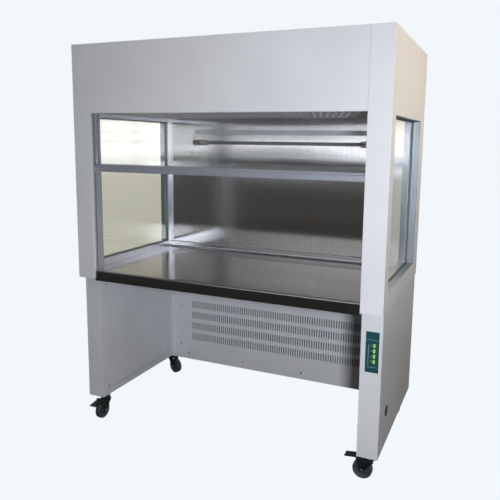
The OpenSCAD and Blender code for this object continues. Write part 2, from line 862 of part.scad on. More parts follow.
// The brake pedal: a pin in the fork's ears, an arm with its brake shoe, and a wide tread.
module brake_pedal(place, heading) {
    arm_w = 2 * cheek_y - 1;
    pin_len = 2 * (cheek_y + cheek_t);
    color([0.24, 0.25, 0.25]) at_castor(place, heading) {
        translate([pedal_x, pin_len / 2, pedal_z]) rotate([90, 0, 0]) cylinder(r = pedal_pin_r, h = pin_len);
        translate([0, arm_w / 2, 0]) rotate([90, 0, 0]) linear_extrude(arm_w)
            polygon([[pedal_x - 5, pedal_z - 3.5], [pedal_x + 3, pedal_z - 13], [pedal_x + 11, pedal_z - 15.5],
                [pedal_x + 12, pedal_z - 5], [pedal_x + 12, pedal_z + 2],
                [pedal_x + 5, pedal_z + 4], [pedal_x - 5, pedal_z + 4]]);
        translate([0, pedal_w / 2, 0]) rotate([90, 0, 0]) linear_extrude(pedal_w)
            polygon([[pedal_x + 10, pedal_z - 5], [pedal_tip - 2, pedal_z - 9], [pedal_tip, pedal_z - 7],
                [pedal_tip - 1, pedal_z - 3], [pedal_x + 10, pedal_z + 2]]);
    }
}

post("left");  // left_post
post("right");  // right_post
fascia_panel();
upper_side("left");  // left_upper_side
upper_side("right");  // right_upper_side
roof_panel();
upper_back_panel();
plenum_box();
back_liner();
side_liners();
window_frames();
side_glass();
window_gaskets();
diffuser_plate();
filter_frame();
filter_media();
fan_deck();
blower_impeller();
blower_motor();
lamp_batten();
lamp_holders();
lamp_tube();
guide_rails();
fixed_pane();
sash_glass();
sash_rail();
sash_shoes();
worktop();
worktop_pan();
rear_beam();
leg_frames();
leg_outer_panel("left");  // left_leg_outer_panel
leg_outer_panel("right");  // right_leg_outer_panel
leg_inner_panel("left");  // left_leg_inner_panel
leg_inner_panel("right");  // right_leg_inner_panel
leg_front_cover("left");  // left_leg_front_cover
leg_front_cover("right");  // right_leg_front_cover
leg_access_covers();
intake_panel();
lower_back_panel();
compartment_floor();
prefilter();
control_panel();
key(0);  // key_socket
key(1);  // key_light
key(2);  // key_speed
key(3);  // key_blower
power_inlet();
panel_screws();
castor_plates();
castor_fork(FRONT_LEFT, front_left_heading, true);  // front_left_fork
castor_fork(FRONT_RIGHT, front_right_heading, true);  // front_right_fork
castor_fork(REAR_LEFT, rear_left_heading, false);  // rear_left_fork
castor_fork(REAR_RIGHT, rear_right_heading, false);  // rear_right_fork
castor_wheel(FRONT_LEFT, front_left_heading);  // front_left_wheel
castor_wheel(FRONT_RIGHT, front_right_heading);  // front_right_wheel
castor_wheel(REAR_LEFT, rear_left_heading);  // rear_left_wheel
castor_wheel(REAR_RIGHT, rear_right_heading);  // rear_right_wheel
brake_pedal(FRONT_LEFT, front_left_heading);  // front_left_pedal
brake_pedal(FRONT_RIGHT, front_right_heading);  // front_right_pedal
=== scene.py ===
"""Looks of a vertical laminar-flow clean bench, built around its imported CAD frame.

The frame gives every size and place. Each sub-assembly is a class that dresses the frame's own
nodes with a finish, and builds the detailed pieces that stand for the plain ones.
"""

import json
import logging
import math
from dataclasses import dataclass, field
from enum import Enum
from typing import Iterable, Sequence

import bmesh
import bpy
from mathutils import Matrix, Vector

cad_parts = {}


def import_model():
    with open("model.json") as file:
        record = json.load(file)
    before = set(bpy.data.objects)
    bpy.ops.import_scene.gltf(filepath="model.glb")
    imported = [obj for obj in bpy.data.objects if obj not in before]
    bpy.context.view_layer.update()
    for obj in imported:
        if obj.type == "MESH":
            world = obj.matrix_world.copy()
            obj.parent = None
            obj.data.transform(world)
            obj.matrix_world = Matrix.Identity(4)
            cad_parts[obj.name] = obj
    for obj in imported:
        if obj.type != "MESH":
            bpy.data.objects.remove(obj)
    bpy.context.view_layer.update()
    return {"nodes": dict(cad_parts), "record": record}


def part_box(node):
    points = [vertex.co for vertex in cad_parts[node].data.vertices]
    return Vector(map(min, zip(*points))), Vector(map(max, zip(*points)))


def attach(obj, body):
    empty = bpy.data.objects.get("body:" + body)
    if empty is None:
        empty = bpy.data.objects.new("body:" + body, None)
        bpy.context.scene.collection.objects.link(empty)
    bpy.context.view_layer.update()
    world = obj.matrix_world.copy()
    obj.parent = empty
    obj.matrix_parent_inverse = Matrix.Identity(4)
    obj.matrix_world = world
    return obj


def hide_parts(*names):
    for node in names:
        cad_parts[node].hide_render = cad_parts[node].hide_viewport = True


LOG = logging.getLogger("clean_bench")
MM = 0.001
SHARP_DEG = 32
WELD_GAP = 0.02 * MM
Point = tuple[float, float, float]


# ---- Colour and node helpers ----

def linear(code: str) -> tuple[float, float, float, float]:
    """Turns an sRGB hex colour into linear light.

    Args:
        code: colour as six hex digits, such as "D0D2DB".

    Returns:
        Linear red, green, blue and an alpha of 1.
    """
    parts = [int(code[i:i + 2], 16) / 255 for i in (0, 2, 4)]
    light = [c / 12.92 if c <= 0.04045 else ((c + 0.055) / 1.055) ** 2.4 for c in parts]
    return (light[0], light[1], light[2], 1.0)


def add_node(tree: bpy.types.NodeTree, kind: str, settings: dict | None = None,
             inputs: dict | None = None) -> bpy.types.Node:
    """Adds a shader node, sets its options and fills or links its sockets.

    Args:
        tree: the node tree that gets the node.
        kind: Blender's node type name.
        settings: attribute values of the node.
        inputs: socket name or index to a value or to an output socket to link from.

    Returns:
        The new node.
    """
    node = tree.nodes.new(kind)
    for name, value in (settings or {}).items():
        setattr(node, name, value)
    for name, value in (inputs or {}).items():
        if isinstance(value, bpy.types.NodeSocket):
            tree.links.new(value, node.inputs[name])
        else:
            node.inputs[name].default_value = value
    return node


@dataclass(frozen=True)
class Pattern:
    """An uneven pattern over a surface, sized as on the real thing."""

    size_mm: float
    detail: float = 2.0
    stretch: Point = (1.0, 1.0, 1.0)

    def draw(self, tree: bpy.types.NodeTree, low: float = 0.0, high: float = 1.0, start: float = 0.0,
             end: float = 1.0) -> bpy.types.NodeSocket:
        """Draws the pattern over the object's own coordinates.

        Args:
            tree: the material's node tree.
            low: pattern value that gives start.
            high: pattern value that gives end.
            start: lowest result.
            end: highest result.

        Returns:
            The pattern's value.
        """
        place = add_node(tree, "ShaderNodeTexCoord").outputs["Object"]
        stretched = add_node(tree, "ShaderNodeMapping", inputs={"Vector": place, "Scale": self.stretch})
        cloud = add_node(tree, "ShaderNodeTexNoise", inputs={
            "Vector": stretched.outputs["Vector"], "Scale": 1 / (self.size_mm * MM), "Detail": self.detail})
        cut = add_node(tree, "ShaderNodeMapRange", inputs={
            "Value": cloud.outputs["Fac"], "From Min": low, "From Max": high, "To Min": start, "To Max": end})
        return cut.outputs["Result"]


# ---- Finishes ----

@dataclass(frozen=True)
class Finish:
    """A material named for what the real surface is and how it was made."""

    name: str

    def build(self, tree: bpy.types.NodeTree, shader: bpy.types.Node) -> None:
        """Sets the shader's values and patterns. Each finish has its own."""
        raise NotImplementedError

    def material(self) -> bpy.types.Material:
        """The finish's material, made once and then shared."""
        found = bpy.data.materials.get(self.name)
        if found:
            return found
        made = bpy.data.materials.new(self.name)
        made.use_nodes = True
        tree = made.node_tree
        self.build(tree, tree.nodes["Principled BSDF"])
        return made

    def two_tone(self, tree: bpy.types.NodeTree, shader: bpy.types.Node, amount: bpy.types.NodeSocket,
                 first: str, second: str, *sockets: str) -> None:
        """Colours the surface between two sRGB hex colours.

        Args:
            tree: the material's node tree.
            shader: the material's shader.
            amount: how much of the second colour shows.
            first: the surface's main colour.
            second: the colour that shows in patches.
            sockets: colour sockets that take it besides the base colour.
        """
        mix = add_node(tree, "ShaderNodeMix", {"data_type": "RGBA"},
                       {0: amount, 6: linear(first), 7: linear(second)})
        for socket in ("Base Color", *sockets):
            tree.links.new(mix.outputs[2], shader.inputs[socket])

    def relief(self, tree: bpy.types.NodeTree, shader: bpy.types.Node,
               *layers: tuple[Pattern, float]) -> None:
        """Raises the surface by patterns, each with its real depth in millimetres.

        Args:
            tree: the material's node tree.
            shader: the material's shader.
            layers: each pattern with its depth, from the lowest up.
        """
        normal = None
        for pattern, depth_mm in layers:
            inputs = {"Height": pattern.draw(tree), "Distance": depth_mm * MM}
            if normal is not None:
                inputs["Normal"] = normal
            normal = add_node(tree, "ShaderNodeBump", inputs=inputs).outputs["Normal"]
        tree.links.new(normal, shader.inputs["Normal"])

    def settings(self, tree: bpy.types.NodeTree, shader: bpy.types.Node,
                 **values: float | bpy.types.NodeSocket) -> None:
        """Sets or links the shader's sockets, named in lower case with underscores.

        Args:
            tree: the material's node tree.
            shader: the material's shader.
            values: a number or an output socket for each shader socket.
        """
        for name, value in values.items():
            socket = shader.inputs[name.replace("_", " ").title().replace("Ior", "IOR")]
            if isinstance(value, bpy.types.NodeSocket):
                tree.links.new(value, socket)
            else:
                socket.default_value = value


@dataclass(frozen=True)
class PowderCoat(Finish):
    """Powder coat baked on sheet steel: an even colour, a satin sheen and a fine orange-peel skin."""

    colour: str = "E6E8EC"
    worn: str = "DFE1E5"
    roughness: float = 0.42
    shade: Pattern = Pattern(260, 4)
    scuffs: Pattern = Pattern(40, 5)
    peel: Pattern = Pattern(2.2, 1)
    peel_depth_mm: float = 0.02
    buckle: Pattern = Pattern(320, 1)
    buckle_depth_mm: float = 0.25

    def build(self, tree: bpy.types.NodeTree, shader: bpy.types.Node) -> None:
        """The peel is drawn a little coarser than the real one, so that it shows."""
        self.two_tone(tree, shader, self.shade.draw(tree, 0.35, 0.7), self.colour, self.worn)
        scuffed = self.scuffs.draw(tree, 0.4, 0.75, self.roughness - 0.04, self.roughness + 0.1)
        self.settings(tree, shader, roughness=scuffed, coat_weight=0.12, coat_roughness=0.25)
        self.relief(tree, shader, (self.peel, self.peel_depth_mm), (self.buckle, self.buckle_depth_mm))


@dataclass(frozen=True)
class PolishedStainless(Finish):
    """Stainless sheet, polished with a fine grain: a soft mirror that smears across the grain and
    ripples where the thin sheet isn't quite flat."""

    colour: str = "D2D0CE"
    dull: str = "C6C4C1"
    roughness: float = 0.12
    smear: float = 0.0
    grain: Pattern = Pattern(5, 3, (1.0, 1.0, 0.002))
    ripple: Pattern = Pattern(260, 0, (0.45, 1.0, 2.0))
    ripple_depth_mm: float = 0.2

    def build(self, tree: bpy.types.NodeTree, shader: bpy.types.Node) -> None:
        """The grain is stretched along its direction, and the ripple bends the reflections."""
        self.two_tone(tree, shader, self.grain.draw(tree, 0.3, 0.7), self.colour, self.dull)
        rough = self.grain.draw(tree, 0.3, 0.7, self.roughness - 0.01, self.roughness + 0.02)
        across = add_node(tree, "ShaderNodeCombineXYZ", inputs={"X": 1.0})
        self.settings(tree, shader, metallic=1.0, anisotropic=self.smear, roughness=rough,
                      tangent=across.outputs["Vector"])
        self.relief(tree, shader, (self.ripple, self.ripple_depth_mm))


@dataclass(frozen=True)
class AnodisedAluminium(Finish):
    """Extruded aluminium, satin anodised: pale, slightly blue, with faint die lines along its length."""

    colour: str = "C6CAD6"
    line_colour: str = "AEB3BF"
    roughness: float = 0.42
    metallic: float = 0.55
    lines: Pattern = Pattern(1.5, 2, (1.0, 1.0, 0.01))
    line_depth_mm: float = 0.01

    def build(self, tree: bpy.types.NodeTree, shader: bpy.types.Node) -> None:
        """Die lines are drawn about 1.5 mm apart, coarser than real ones."""
        self.two_tone(tree, shader, self.lines.draw(tree), self.colour, self.line_colour)
        rough = self.lines.draw(tree, 0.3, 0.7, self.roughness, self.roughness + 0.08)
        self.settings(tree, shader, metallic=self.metallic, roughness=rough)
        self.relief(tree, shader, (self.lines, self.line_depth_mm))


@dataclass(frozen=True)
class FloatGlass(Finish):
    """Clear float glass: nearly colourless through its face, with a light film of dust."""

    tint: str = "FAFCFB"
    clearness: float = 0.0
    wiped: Pattern = Pattern(120, 4, (1.0, 1.0, 0.4))

    def build(self, tree: bpy.types.NodeTree, shader: bpy.types.Node) -> None:
        """Roughness varies a little where the glass has been wiped, and light falls through it."""
        shader.inputs["Base Color"].default_value = linear(self.tint)
        self.settings(tree, shader, transmission_weight=1.0, ior=1.5,
                      roughness=self.wiped.draw(tree, 0.45, 0.8, 0.0, 0.05))
        path = add_node(tree, "ShaderNodeLightPath")
        lighting = add_node(tree, "ShaderNodeMath", {"operation": "MAXIMUM"},
                            {0: path.outputs["Is Shadow Ray"], 1: path.outputs["Is Diffuse Ray"]})
        passing = add_node(tree, "ShaderNodeMath", {"operation": "MAXIMUM"},
                           {0: lighting.outputs[0], 1: self.clearness})
        clear = add_node(tree, "ShaderNodeBsdfTransparent", inputs={"Color": linear("FDFDFD")})
        mixed = add_node(tree, "ShaderNodeMixShader", inputs={
            0: passing.outputs[0], 1: shader.outputs["BSDF"], 2: clear.outputs["BSDF"]})
        tree.links.new(mixed.outputs["Shader"], tree.nodes["Material Output"].inputs["Surface"])


@dataclass(frozen=True)
class GroundGlassEdge(Finish):
    """The ground edge of float glass, where its iron content shows as green."""

    colour: str = "3F8F74"
    bright: str = "8DB8A4"
    marks: Pattern = Pattern(0.8)
    mark_depth_mm: float = 0.01

    def build(self, tree: bpy.types.NodeTree, shader: bpy.types.Node) -> None:
        """Frosted green with fine grinding marks."""
        self.two_tone(tree, shader, self.marks.draw(tree), self.colour, self.bright)
        self.settings(tree, shader, roughness=0.35)
        self.relief(tree, shader, (self.marks, self.mark_depth_mm))


@dataclass(frozen=True)
class Rubber(Finish):
    """Rubber: dull, with a slight bloom that lifts its colour in patches."""

    colour: str = "39404A"
    bloom: str = "4A525C"
    roughness: float = 0.72
    patches: Pattern = Pattern(14, 4)
    grain: Pattern = Pattern(1.6)
    grain_depth_mm: float = 0.02

    def build(self, tree: bpy.types.NodeTree, shader: bpy.types.Node) -> None:
        """Bloom patches over a fine moulded grain."""
        self.two_tone(tree, shader, self.patches.draw(tree, 0.4, 0.7), self.colour, self.bloom)
        rough = self.patches.draw(tree, 0.4, 0.7, self.roughness - 0.06, self.roughness + 0.08)
        self.settings(tree, shader, roughness=rough)
        self.relief(tree, shader, (self.grain, self.grain_depth_mm))


@dataclass(frozen=True)
class MouldedPlastic(Finish):
    """Injection-moulded plastic with a fine spark-eroded texture."""

    colour: str = "16181A"
    second: str = "1F2224"
    roughness: float = 0.45
    flow: Pattern = Pattern(30, 3)
    grain: Pattern = Pattern(0.9, 1)
    grain_depth_mm: float = 0.012

    def build(self, tree: bpy.types.NodeTree, shader: bpy.types.Node) -> None:
        """The texture is drawn a little coarser than the real one."""
        self.two_tone(tree, shader, self.flow.draw(tree), self.colour, self.second)
        rough = self.flow.draw(tree, 0.3, 0.7, self.roughness - 0.04, self.roughness + 0.06)
        self.settings(tree, shader, roughness=rough)
        self.relief(tree, shader, (self.grain, self.grain_depth_mm))


@dataclass(frozen=True)
class PlatedSteel(Finish):
    """Zinc-plated steel: a cool metal with a patchy passivated bloom."""

    colour: str = "B9BEC2"
    patch: str = "9CA2A6"
    roughness: float = 0.32
    clouds: Pattern = Pattern(24, 5)
    scratches: Pattern = Pattern(0.7, 1, (1.0, 6.0, 1.0))
    scratch_depth_mm: float = 0.004

    def build(self, tree: bpy.types.NodeTree, shader: bpy.types.Node) -> None:
        """Cloudy patches a few centimetres across over fine scratches."""
        self.two_tone(tree, shader, self.clouds.draw(tree, 0.35, 0.7), self.colour, self.patch)
        rough = self.clouds.draw(tree, 0.35, 0.7, self.roughness, self.roughness + 0.14)
        self.settings(tree, shader, metallic=1.0, roughness=rough)
        self.relief(tree, shader, (self.scratches, self.scratch_depth_mm))


@dataclass(frozen=True)
class BlackEnamel(Finish):
    """Pressed steel dipped in black enamel: glossy on edges, dusty on flats."""

    colour: str = "141917"
    dust: str = "2B302E"
    roughness: float = 0.3
    dusty_roughness: float = 0.62
    patches: Pattern = Pattern(11, 5)
    runs: Pattern = Pattern(3, 3)
    run_depth_mm: float = 0.03

    def build(self, tree: bpy.types.NodeTree, shader: bpy.types.Node) -> None:
        """Dust gathers in patches about 1 cm across."""
        self.two_tone(tree, shader, self.patches.draw(tree, 0.45, 0.7), self.colour, self.dust)
        rough = self.patches.draw(tree, 0.45, 0.7, self.roughness, self.dusty_roughness)
        self.settings(tree, shader, roughness=rough, coat_weight=0.2, coat_roughness=0.2)
        self.relief(tree, shader, (self.runs, self.run_depth_mm))


@dataclass(frozen=True)
class FilterPaper(Finish):
    """Glass-fibre filter paper: matt, with loose short fibres."""

    colour: str = "F0EEE6"
    fibre: str = "D9D6CA"
    strands: Pattern = Pattern(1.1, 4, (1.0, 0.3, 1.0))
    strand_depth_mm: float = 0.15

    def build(self, tree: bpy.types.NodeTree, shader: bpy.types.Node) -> None:
        """Fibres are drawn about a millimetre across."""
        self.two_tone(tree, shader, self.strands.draw(tree, 0.4, 0.65), self.colour, self.fibre)
        self.settings(tree, shader, roughness=0.92)
        self.relief(tree, shader, (self.strands, self.strand_depth_mm))


@dataclass(frozen=True)
class LampGlass(Finish):
    """A germicidal tube's quartz glass: clear and smooth, so that unlit it reads as a dark gloss."""

    colour: str = "6E7472"
    cloudy: str = "858B89"
    powder: Pattern = Pattern(9, 3)

    def build(self, tree: bpy.types.NodeTree, shader: bpy.types.Node) -> None:
        """The glass is a little cloudy under a glossy skin."""
        self.two_tone(tree, shader, self.powder.draw(tree), self.colour, self.cloudy)
        self.settings(tree, shader, roughness=0.18, coat_weight=0.9, coat_roughness=0.05)


@dataclass(frozen=True)
class LitWindow(Finish):
    """Translucent plastic lit from behind by a small lamp."""

    colour: str = "A6C048"
    bright: str = "A9C77F"
    glow: float = 0.35
    cloud: Pattern = Pattern(6)
    dimple_depth_mm: float = 0.02

    def build(self, tree: bpy.types.NodeTree, shader: bpy.types.Node) -> None:
        """The plastic is a little uneven, so some of it glows brighter."""
        self.two_tone(tree, shader, self.cloud.draw(tree), self.colour, self.bright, "Emission Color")
        self.settings(tree, shader, emission_strength=self.glow, roughness=0.28)
        self.relief(tree, shader, (self.cloud, self.dimple_depth_mm))


ALONG_X = Pattern(1.5, 2, (0.01, 1.0, 1.0))


class Coat(Enum):
    """Every finish of the bench, by the piece of the maker's stock that it stands for."""

    CABINET = PowderCoat("powder_coat_light_grey")
    STAND = PowderCoat("powder_coat_stand", colour="DEE0E4", worn="D6D8DC")
    INNER = PowderCoat("powder_coat_inner", colour="CFD1D3", worn="BDC0C3", roughness=0.5)
    LINER = PolishedStainless("polished_stainless_liner", smear=0.9, ripple_depth_mm=1.2)
    WORKTOP = PolishedStainless("polished_stainless_worktop", colour="C4C2C2", dull="B6B4B4", roughness=0.15,
                                grain=Pattern(5, 3, (0.002, 1.0, 1.0)),
                                ripple=Pattern(260, 0, (0.5, 1.4, 1.0)), ripple_depth_mm=0.5)
    # The reveal steel is near white, brighter than the liner's steel. This is partly painted highlight of the
    # light that the corner strip and the cove throw back, and partly real shine from the lighting.
    REVEAL_PAINTED_HIGHLIGHT = PolishedStainless("polished_stainless_reveal_painted_highlight", colour="F0F2FA", dull="E4E6EE", roughness=0.3)
    FRAME = PolishedStainless("brushed_stainless_frame", colour="ACB2BA", dull="A0A6AE", roughness=0.36)
    RAIL = AnodisedAluminium("anodised_aluminium_upright")
    CROSS_RAIL = AnodisedAluminium("anodised_aluminium_cross", colour="D8DCE8", metallic=0.8, lines=ALONG_X)
    BATTEN = AnodisedAluminium("anodised_aluminium_batten", colour="ECEEF2", metallic=0.15, lines=ALONG_X)
    PANE = FloatGlass("float_glass")
    FRONT_PANE = FloatGlass("float_glass_front", clearness=0.96)
    PANE_EDGE = GroundGlassEdge("ground_glass_edge")
    SEAL = Rubber("extruded_rubber_seal", colour="6E7672", bloom="7E8682")
    SEALANT = Rubber("silicone_sealant", colour="8C8F90", bloom="9A9D9E", roughness=0.4)
    TYRE = Rubber("moulded_rubber_tyre", roughness=0.6)
    HUB = MouldedPlastic("moulded_nylon_hub", colour="3A4048", second="474E57")
    BLACK = MouldedPlastic("moulded_black_plastic")
    NYLON = MouldedPlastic("moulded_white_nylon", colour="E4E3DD", second="D4D3CC", roughness=0.4)
    ZINC = PlatedSteel("zinc_plated_steel")
    PIN = PlatedSteel("nickel_plated_pin", colour="D4D2CC", patch="BDBBB4", roughness=0.2)
    ENAMEL = BlackEnamel("black_enamelled_steel")
    PAPER = FilterPaper("glass_fibre_paper")
    # Its dark grey is painted shade. Through the intake slots it stands for the dark of the compartment
    # behind them.
    MAT = FilterPaper("coarse_filter_mat_painted_shade", colour="6C7074", fibre="5A5E62")
    TUBE = LampGlass("quartz_lamp_glass")
    PANEL = MouldedPlastic("screen_printed_panel", colour="17464F", second="1E5458", roughness=0.3)
    PANEL_FIELD = MouldedPlastic("screen_printed_field", colour="20502F", second="2A5E3A", roughness=0.3)
    PANEL_LINE = MouldedPlastic("screen_printed_line", colour="9FC4C0", second="8DB5B4", roughness=0.35)
    KEY = LitWindow("translucent_key")
    LAMP_DOT = LitWindow("indicator_lens", colour="C9E27F", glow=0.8)

    def dress(self, thing: bpy.types.Object) -> None:
        """Gives every material slot of an object this finish.

        Args:
            thing: the object.
        """
        material = self.value.material()
        if not thing.data.materials:
            thing.data.materials.append(material)
        for place in thing.material_slots:
            place.material = material


# ---- Mesh helpers ----

Outline = list[tuple[float, float]]


def link_mesh(name: str, mesh: bmesh.types.BMesh) -> bpy.types.Object:
    """Turns a built mesh into an object in the scene, and frees it.

    Args:
        name: the piece's name.
        mesh: the mesh, in metres, in the frame's own axes.

    Returns:
        The new object.
    """
    data = bpy.data.meshes.new(name)
    mesh.to_mesh(data)
    mesh.free()
    piece = bpy.data.objects.new(name, data)
    bpy.context.scene.collection.objects.link(piece)
    return piece


def finish_mesh(name: str, mesh: bmesh.types.BMesh, coats: Sequence[Coat],
                smooth: bool = True) -> bpy.types.Object:
    """Turns a built mesh into an object with its finishes.

    Args:
        name: the piece's name.
        mesh: the mesh, in metres, in the frame's own axes. It is freed.
        coats: the finishes, in the order of the faces' material numbers.
        smooth: whether curved faces are shaded smooth.

    Returns:
        The new object, linked to the scene.
    """
    bmesh.ops.remove_doubles(mesh, verts=mesh.verts, dist=1e-6)
    bmesh.ops.recalc_face_normals(mesh, faces=mesh.faces)
    piece = link_mesh(name, mesh)
    for coat in coats:
        piece.data.materials.append(coat.value.material())
    if smooth:
        piece.data.shade_smooth()
        piece.data.set_sharp_from_angle(angle=math.radians(SHARP_DEG))
    return piece


def round_edges(piece: bpy.types.Object, width_mm: float, segments: int = 2, angle: float = 30) -> None:
    """Welds a piece's corners and rounds its edges by a real radius.

    Args:
        piece: the piece.
        width_mm: radius of the edges.
        segments: number of steps across an edge.
        angle: the least angle in degrees that counts as an edge.
    """
    weld = piece.modifiers.new("weld", "WELD")
    weld.merge_threshold = WELD_GAP
    soft = piece.modifiers.new("rounded_edges", "BEVEL")
    soft.width = width_mm * MM
    soft.segments = segments
    soft.limit_method = "ANGLE"
    soft.angle_limit = math.radians(angle)


def in_mm(outline: Iterable[tuple[float, float]]) -> Outline:
    """Turns an outline given in millimetres into metres."""
    return [(a * MM, b * MM) for a, b in outline]


def add_block(mesh: bmesh.types.BMesh, low: Sequence[float], high: Sequence[float], number: int = 0,
              place: Matrix | None = None) -> None:
    """Adds a box between two corners.

    Args:
        mesh: the mesh that gets the box.
        low: its lowest corner.
        high: its highest corner.
        number: material number of the faces.
        place: placement of the box, or None for the frame's own axes.
    """
    size = [b - a for a, b in zip(low, high)]
    centre = [(a + b) / 2 for a, b in zip(low, high)]
    matrix = (place or Matrix()) @ Matrix.Translation(centre) @ Matrix.Diagonal((*size, 1))
    made = bmesh.ops.create_cube(mesh, size=1.0, matrix=matrix)
    for face in {face for vert in made["verts"] for face in vert.link_faces}:
        face.material_index = number


def add_lathe(mesh: bmesh.types.BMesh, outline: Outline, matrix: Matrix, steps: int = 48,
              number: int = 0) -> None:
    """Turns an outline of (radius, height) points about Z and places it.

    Args:
        mesh: the mesh that gets the surface.
        outline: points from one end to the other; a radius of 0 closes an end.
        matrix: placement of the turned shape.
        steps: number of steps around.
        number: material number of the faces.
    """
    rings = []
    for radius, height in outline:
        if radius < 1e-9:
            rings.append([mesh.verts.new(matrix @ Vector((0, 0, height)))])
            continue
        turn = [2 * math.pi * i / steps for i in range(steps)]
        rings.append([mesh.verts.new(matrix @ Vector((radius * math.cos(a), radius * math.sin(a), height)))
                      for a in turn])
    for first, second in zip(rings, rings[1:]):
        for i in range(steps):
            j = (i + 1) % steps
            corners = [first[i % len(first)], first[j % len(first)], second[j % len(second)],
                       second[i % len(second)]]
            unique = list(dict.fromkeys(corners))
            if len(unique) > 2:
                mesh.faces.new(unique).material_index = number


def add_prism(mesh: bmesh.types.BMesh, outline: Outline, depth: float, matrix: Matrix,
              number: int = 0) -> None:
    """Extrudes an outline in X and Y by a depth along Z and places it.

    Args:
        mesh: the mesh that gets the prism.
        outline: points in X and Y.
        depth: length along Z.
        matrix: placement of the prism.
        number: material number of the faces.
    """
    low = [mesh.verts.new(matrix @ Vector((x, y, 0))) for x, y in outline]
    high = [mesh.verts.new(matrix @ Vector((x, y, depth))) for x, y in outline]
    faces = [mesh.faces.new(low[::-1]), mesh.faces.new(high)]
    count = len(outline)
    for i in range(count):
        faces.append(mesh.faces.new([low[i], low[(i + 1) % count], high[(i + 1) % count], high[i]]))
    for face in faces:
        face.material_index = number


def arc(centre: tuple[float, float], radius: float, start: float, end: float, steps: int = 6) -> Outline:
    """Points along an arc, from one angle to another in degrees.

    Args:
        centre: the arc's centre.
        radius: the arc's radius.
        start: first angle in degrees.
        end: last angle in degrees.
        steps: number of steps.

    Returns:
        The points, from start to end.
    """
    turn = [math.radians(start + (end - start) * i / steps) for i in range(steps + 1)]
    return [(centre[0] + radius * math.cos(a), centre[1] + radius * math.sin(a)) for a in turn]


def rounded_rectangle(low: tuple[float, float], high: tuple[float, float], radius: float,
                      steps: int = 5) -> Outline:
    """Outline of a rectangle with round corners.

    Args:
        low: lowest corner.
        high: highest corner.
        radius: radius of the corners.
        steps: number of steps around each corner.

    Returns:
        The outline, anticlockwise from the right side.
    """
    (x0, y0), (x1, y1) = low, high
    points: Outline = []
    for centre, start in (((x1 - radius, y1 - radius), 0), ((x0 + radius, y1 - radius), 90),
                          ((x0 + radius, y0 + radius), 180), ((x1 - radius, y0 + radius), 270)):
        points += arc(centre, radius, start, start + 90, steps)
    return points


def facing(axis: str, origin: Sequence[float]) -> Matrix:
    """A placement whose Z points along an axis such as "+X", "-Y" or "+Z".

    Args:
        axis: a sign and a letter.
        origin: where the placement stands.

    Returns:
        The placement.
    """
    turns = {"+X": Matrix.Rotation(math.pi / 2, 4, "Y"), "-X": Matrix.Rotation(-math.pi / 2, 4, "Y"),
             "+Y": Matrix.Rotation(-math.pi / 2, 4, "X"), "-Y": Matrix.Rotation(math.pi / 2, 4, "X"),
             "+Z": Matrix.Identity(4), "-Z": Matrix.Rotation(math.pi, 4, "X")}
    return Matrix.Translation(origin) @ turns[axis]


# ---- The frame ----

@dataclass
class Bench:
    """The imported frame, with the calls that every sub-assembly uses on it."""

    nodes: dict[str, bpy.types.Object]
    record: dict
    made: list[str] = field(default_factory=list)

    def dress(self, coat: Coat, *names: str, edge_mm: float = 0.0) -> None:
        """Gives CAD nodes a finish and, where asked, rounded edges.

        Args:
            coat: the finish.
            names: node names.
            edge_mm: radius of the edges, or 0 for none.
        """
        for name in names:
            coat.dress(self.nodes[name])
            if edge_mm:
                round_edges(self.nodes[name], edge_mm)
            LOG.info("dressed %s in %s", name, coat.value.name)

    def mount(self, name: str) -> Vector:
        """The place of one of the record's mounts."""
        return Vector(next(m["pos_m"] for m in self.record["mounts"] if m["name"] == name))

    def add(self, piece: bpy.types.Object, body: str, slot: str,
            replaces: Iterable[str] = ()) -> bpy.types.Object:
        """Makes a new piece ride on a body.

        Args:
            piece: the new object.
            body: the CAD body that carries it.
            slot: the record's material slot for the piece; not used.
            replaces: the CAD nodes that it stands for.

        Returns:
            The same object.
        """
        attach(piece, body)
        for node in replaces:
            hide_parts(node)
        self.made.append(piece.name)
        LOG.info("built %s on %s", piece.name, body)
        return piece


# ---- Sub-assemblies ----

@dataclass
class CabinetShell:
    """Posts, fascia, side panels, roof and back of the upper cabinet."""

    bench: Bench
    edge_mm: float = 0.7

    def build(self) -> None:
        """Dresses the folded sheets."""
        self.bench.dress(Coat.CABINET, "left_post", "right_post", "fascia_panel", "left_upper_side",
                         "right_upper_side", "roof_panel", "upper_back_panel", edge_mm=self.edge_mm)


@dataclass
class Pane:
    """A flat glass pane with ground edges, built in place of a CAD pane."""

    low: Vector
    high: Vector
    arris: float = 0.0008

    def mesh_into(self, mesh: bmesh.types.BMesh) -> None:
        """Adds the pane's two faces and its bevelled green edge.

        Args:
            mesh: the mesh that gets the pane.
        """
        size = self.high - self.low
        thin = min(range(3), key=lambda i: size[i])
        across, up = [i for i in range(3) if i != thin]
        rings = []
        for depth, inset in ((0.0, self.arris), (self.arris, 0.0), (size[thin] - self.arris, 0.0),
                             (size[thin], self.arris)):
            ring = []
            for a, b in ((0, 0), (1, 0), (1, 1), (0, 1)):
                point = self.low.copy()
                point[thin] += depth
                point[across] += inset if a == 0 else size[across] - inset
                point[up] += inset if b == 0 else size[up] - inset
                ring.append(mesh.verts.new(point))
            rings.append(ring)
        mesh.faces.new(rings[0])
        mesh.faces.new(rings[-1])
        for first, second in zip(rings, rings[1:]):
            for i in range(4):
                face = mesh.faces.new([first[i], first[(i + 1) % 4], second[(i + 1) % 4], second[i]])
                face.material_index = 1


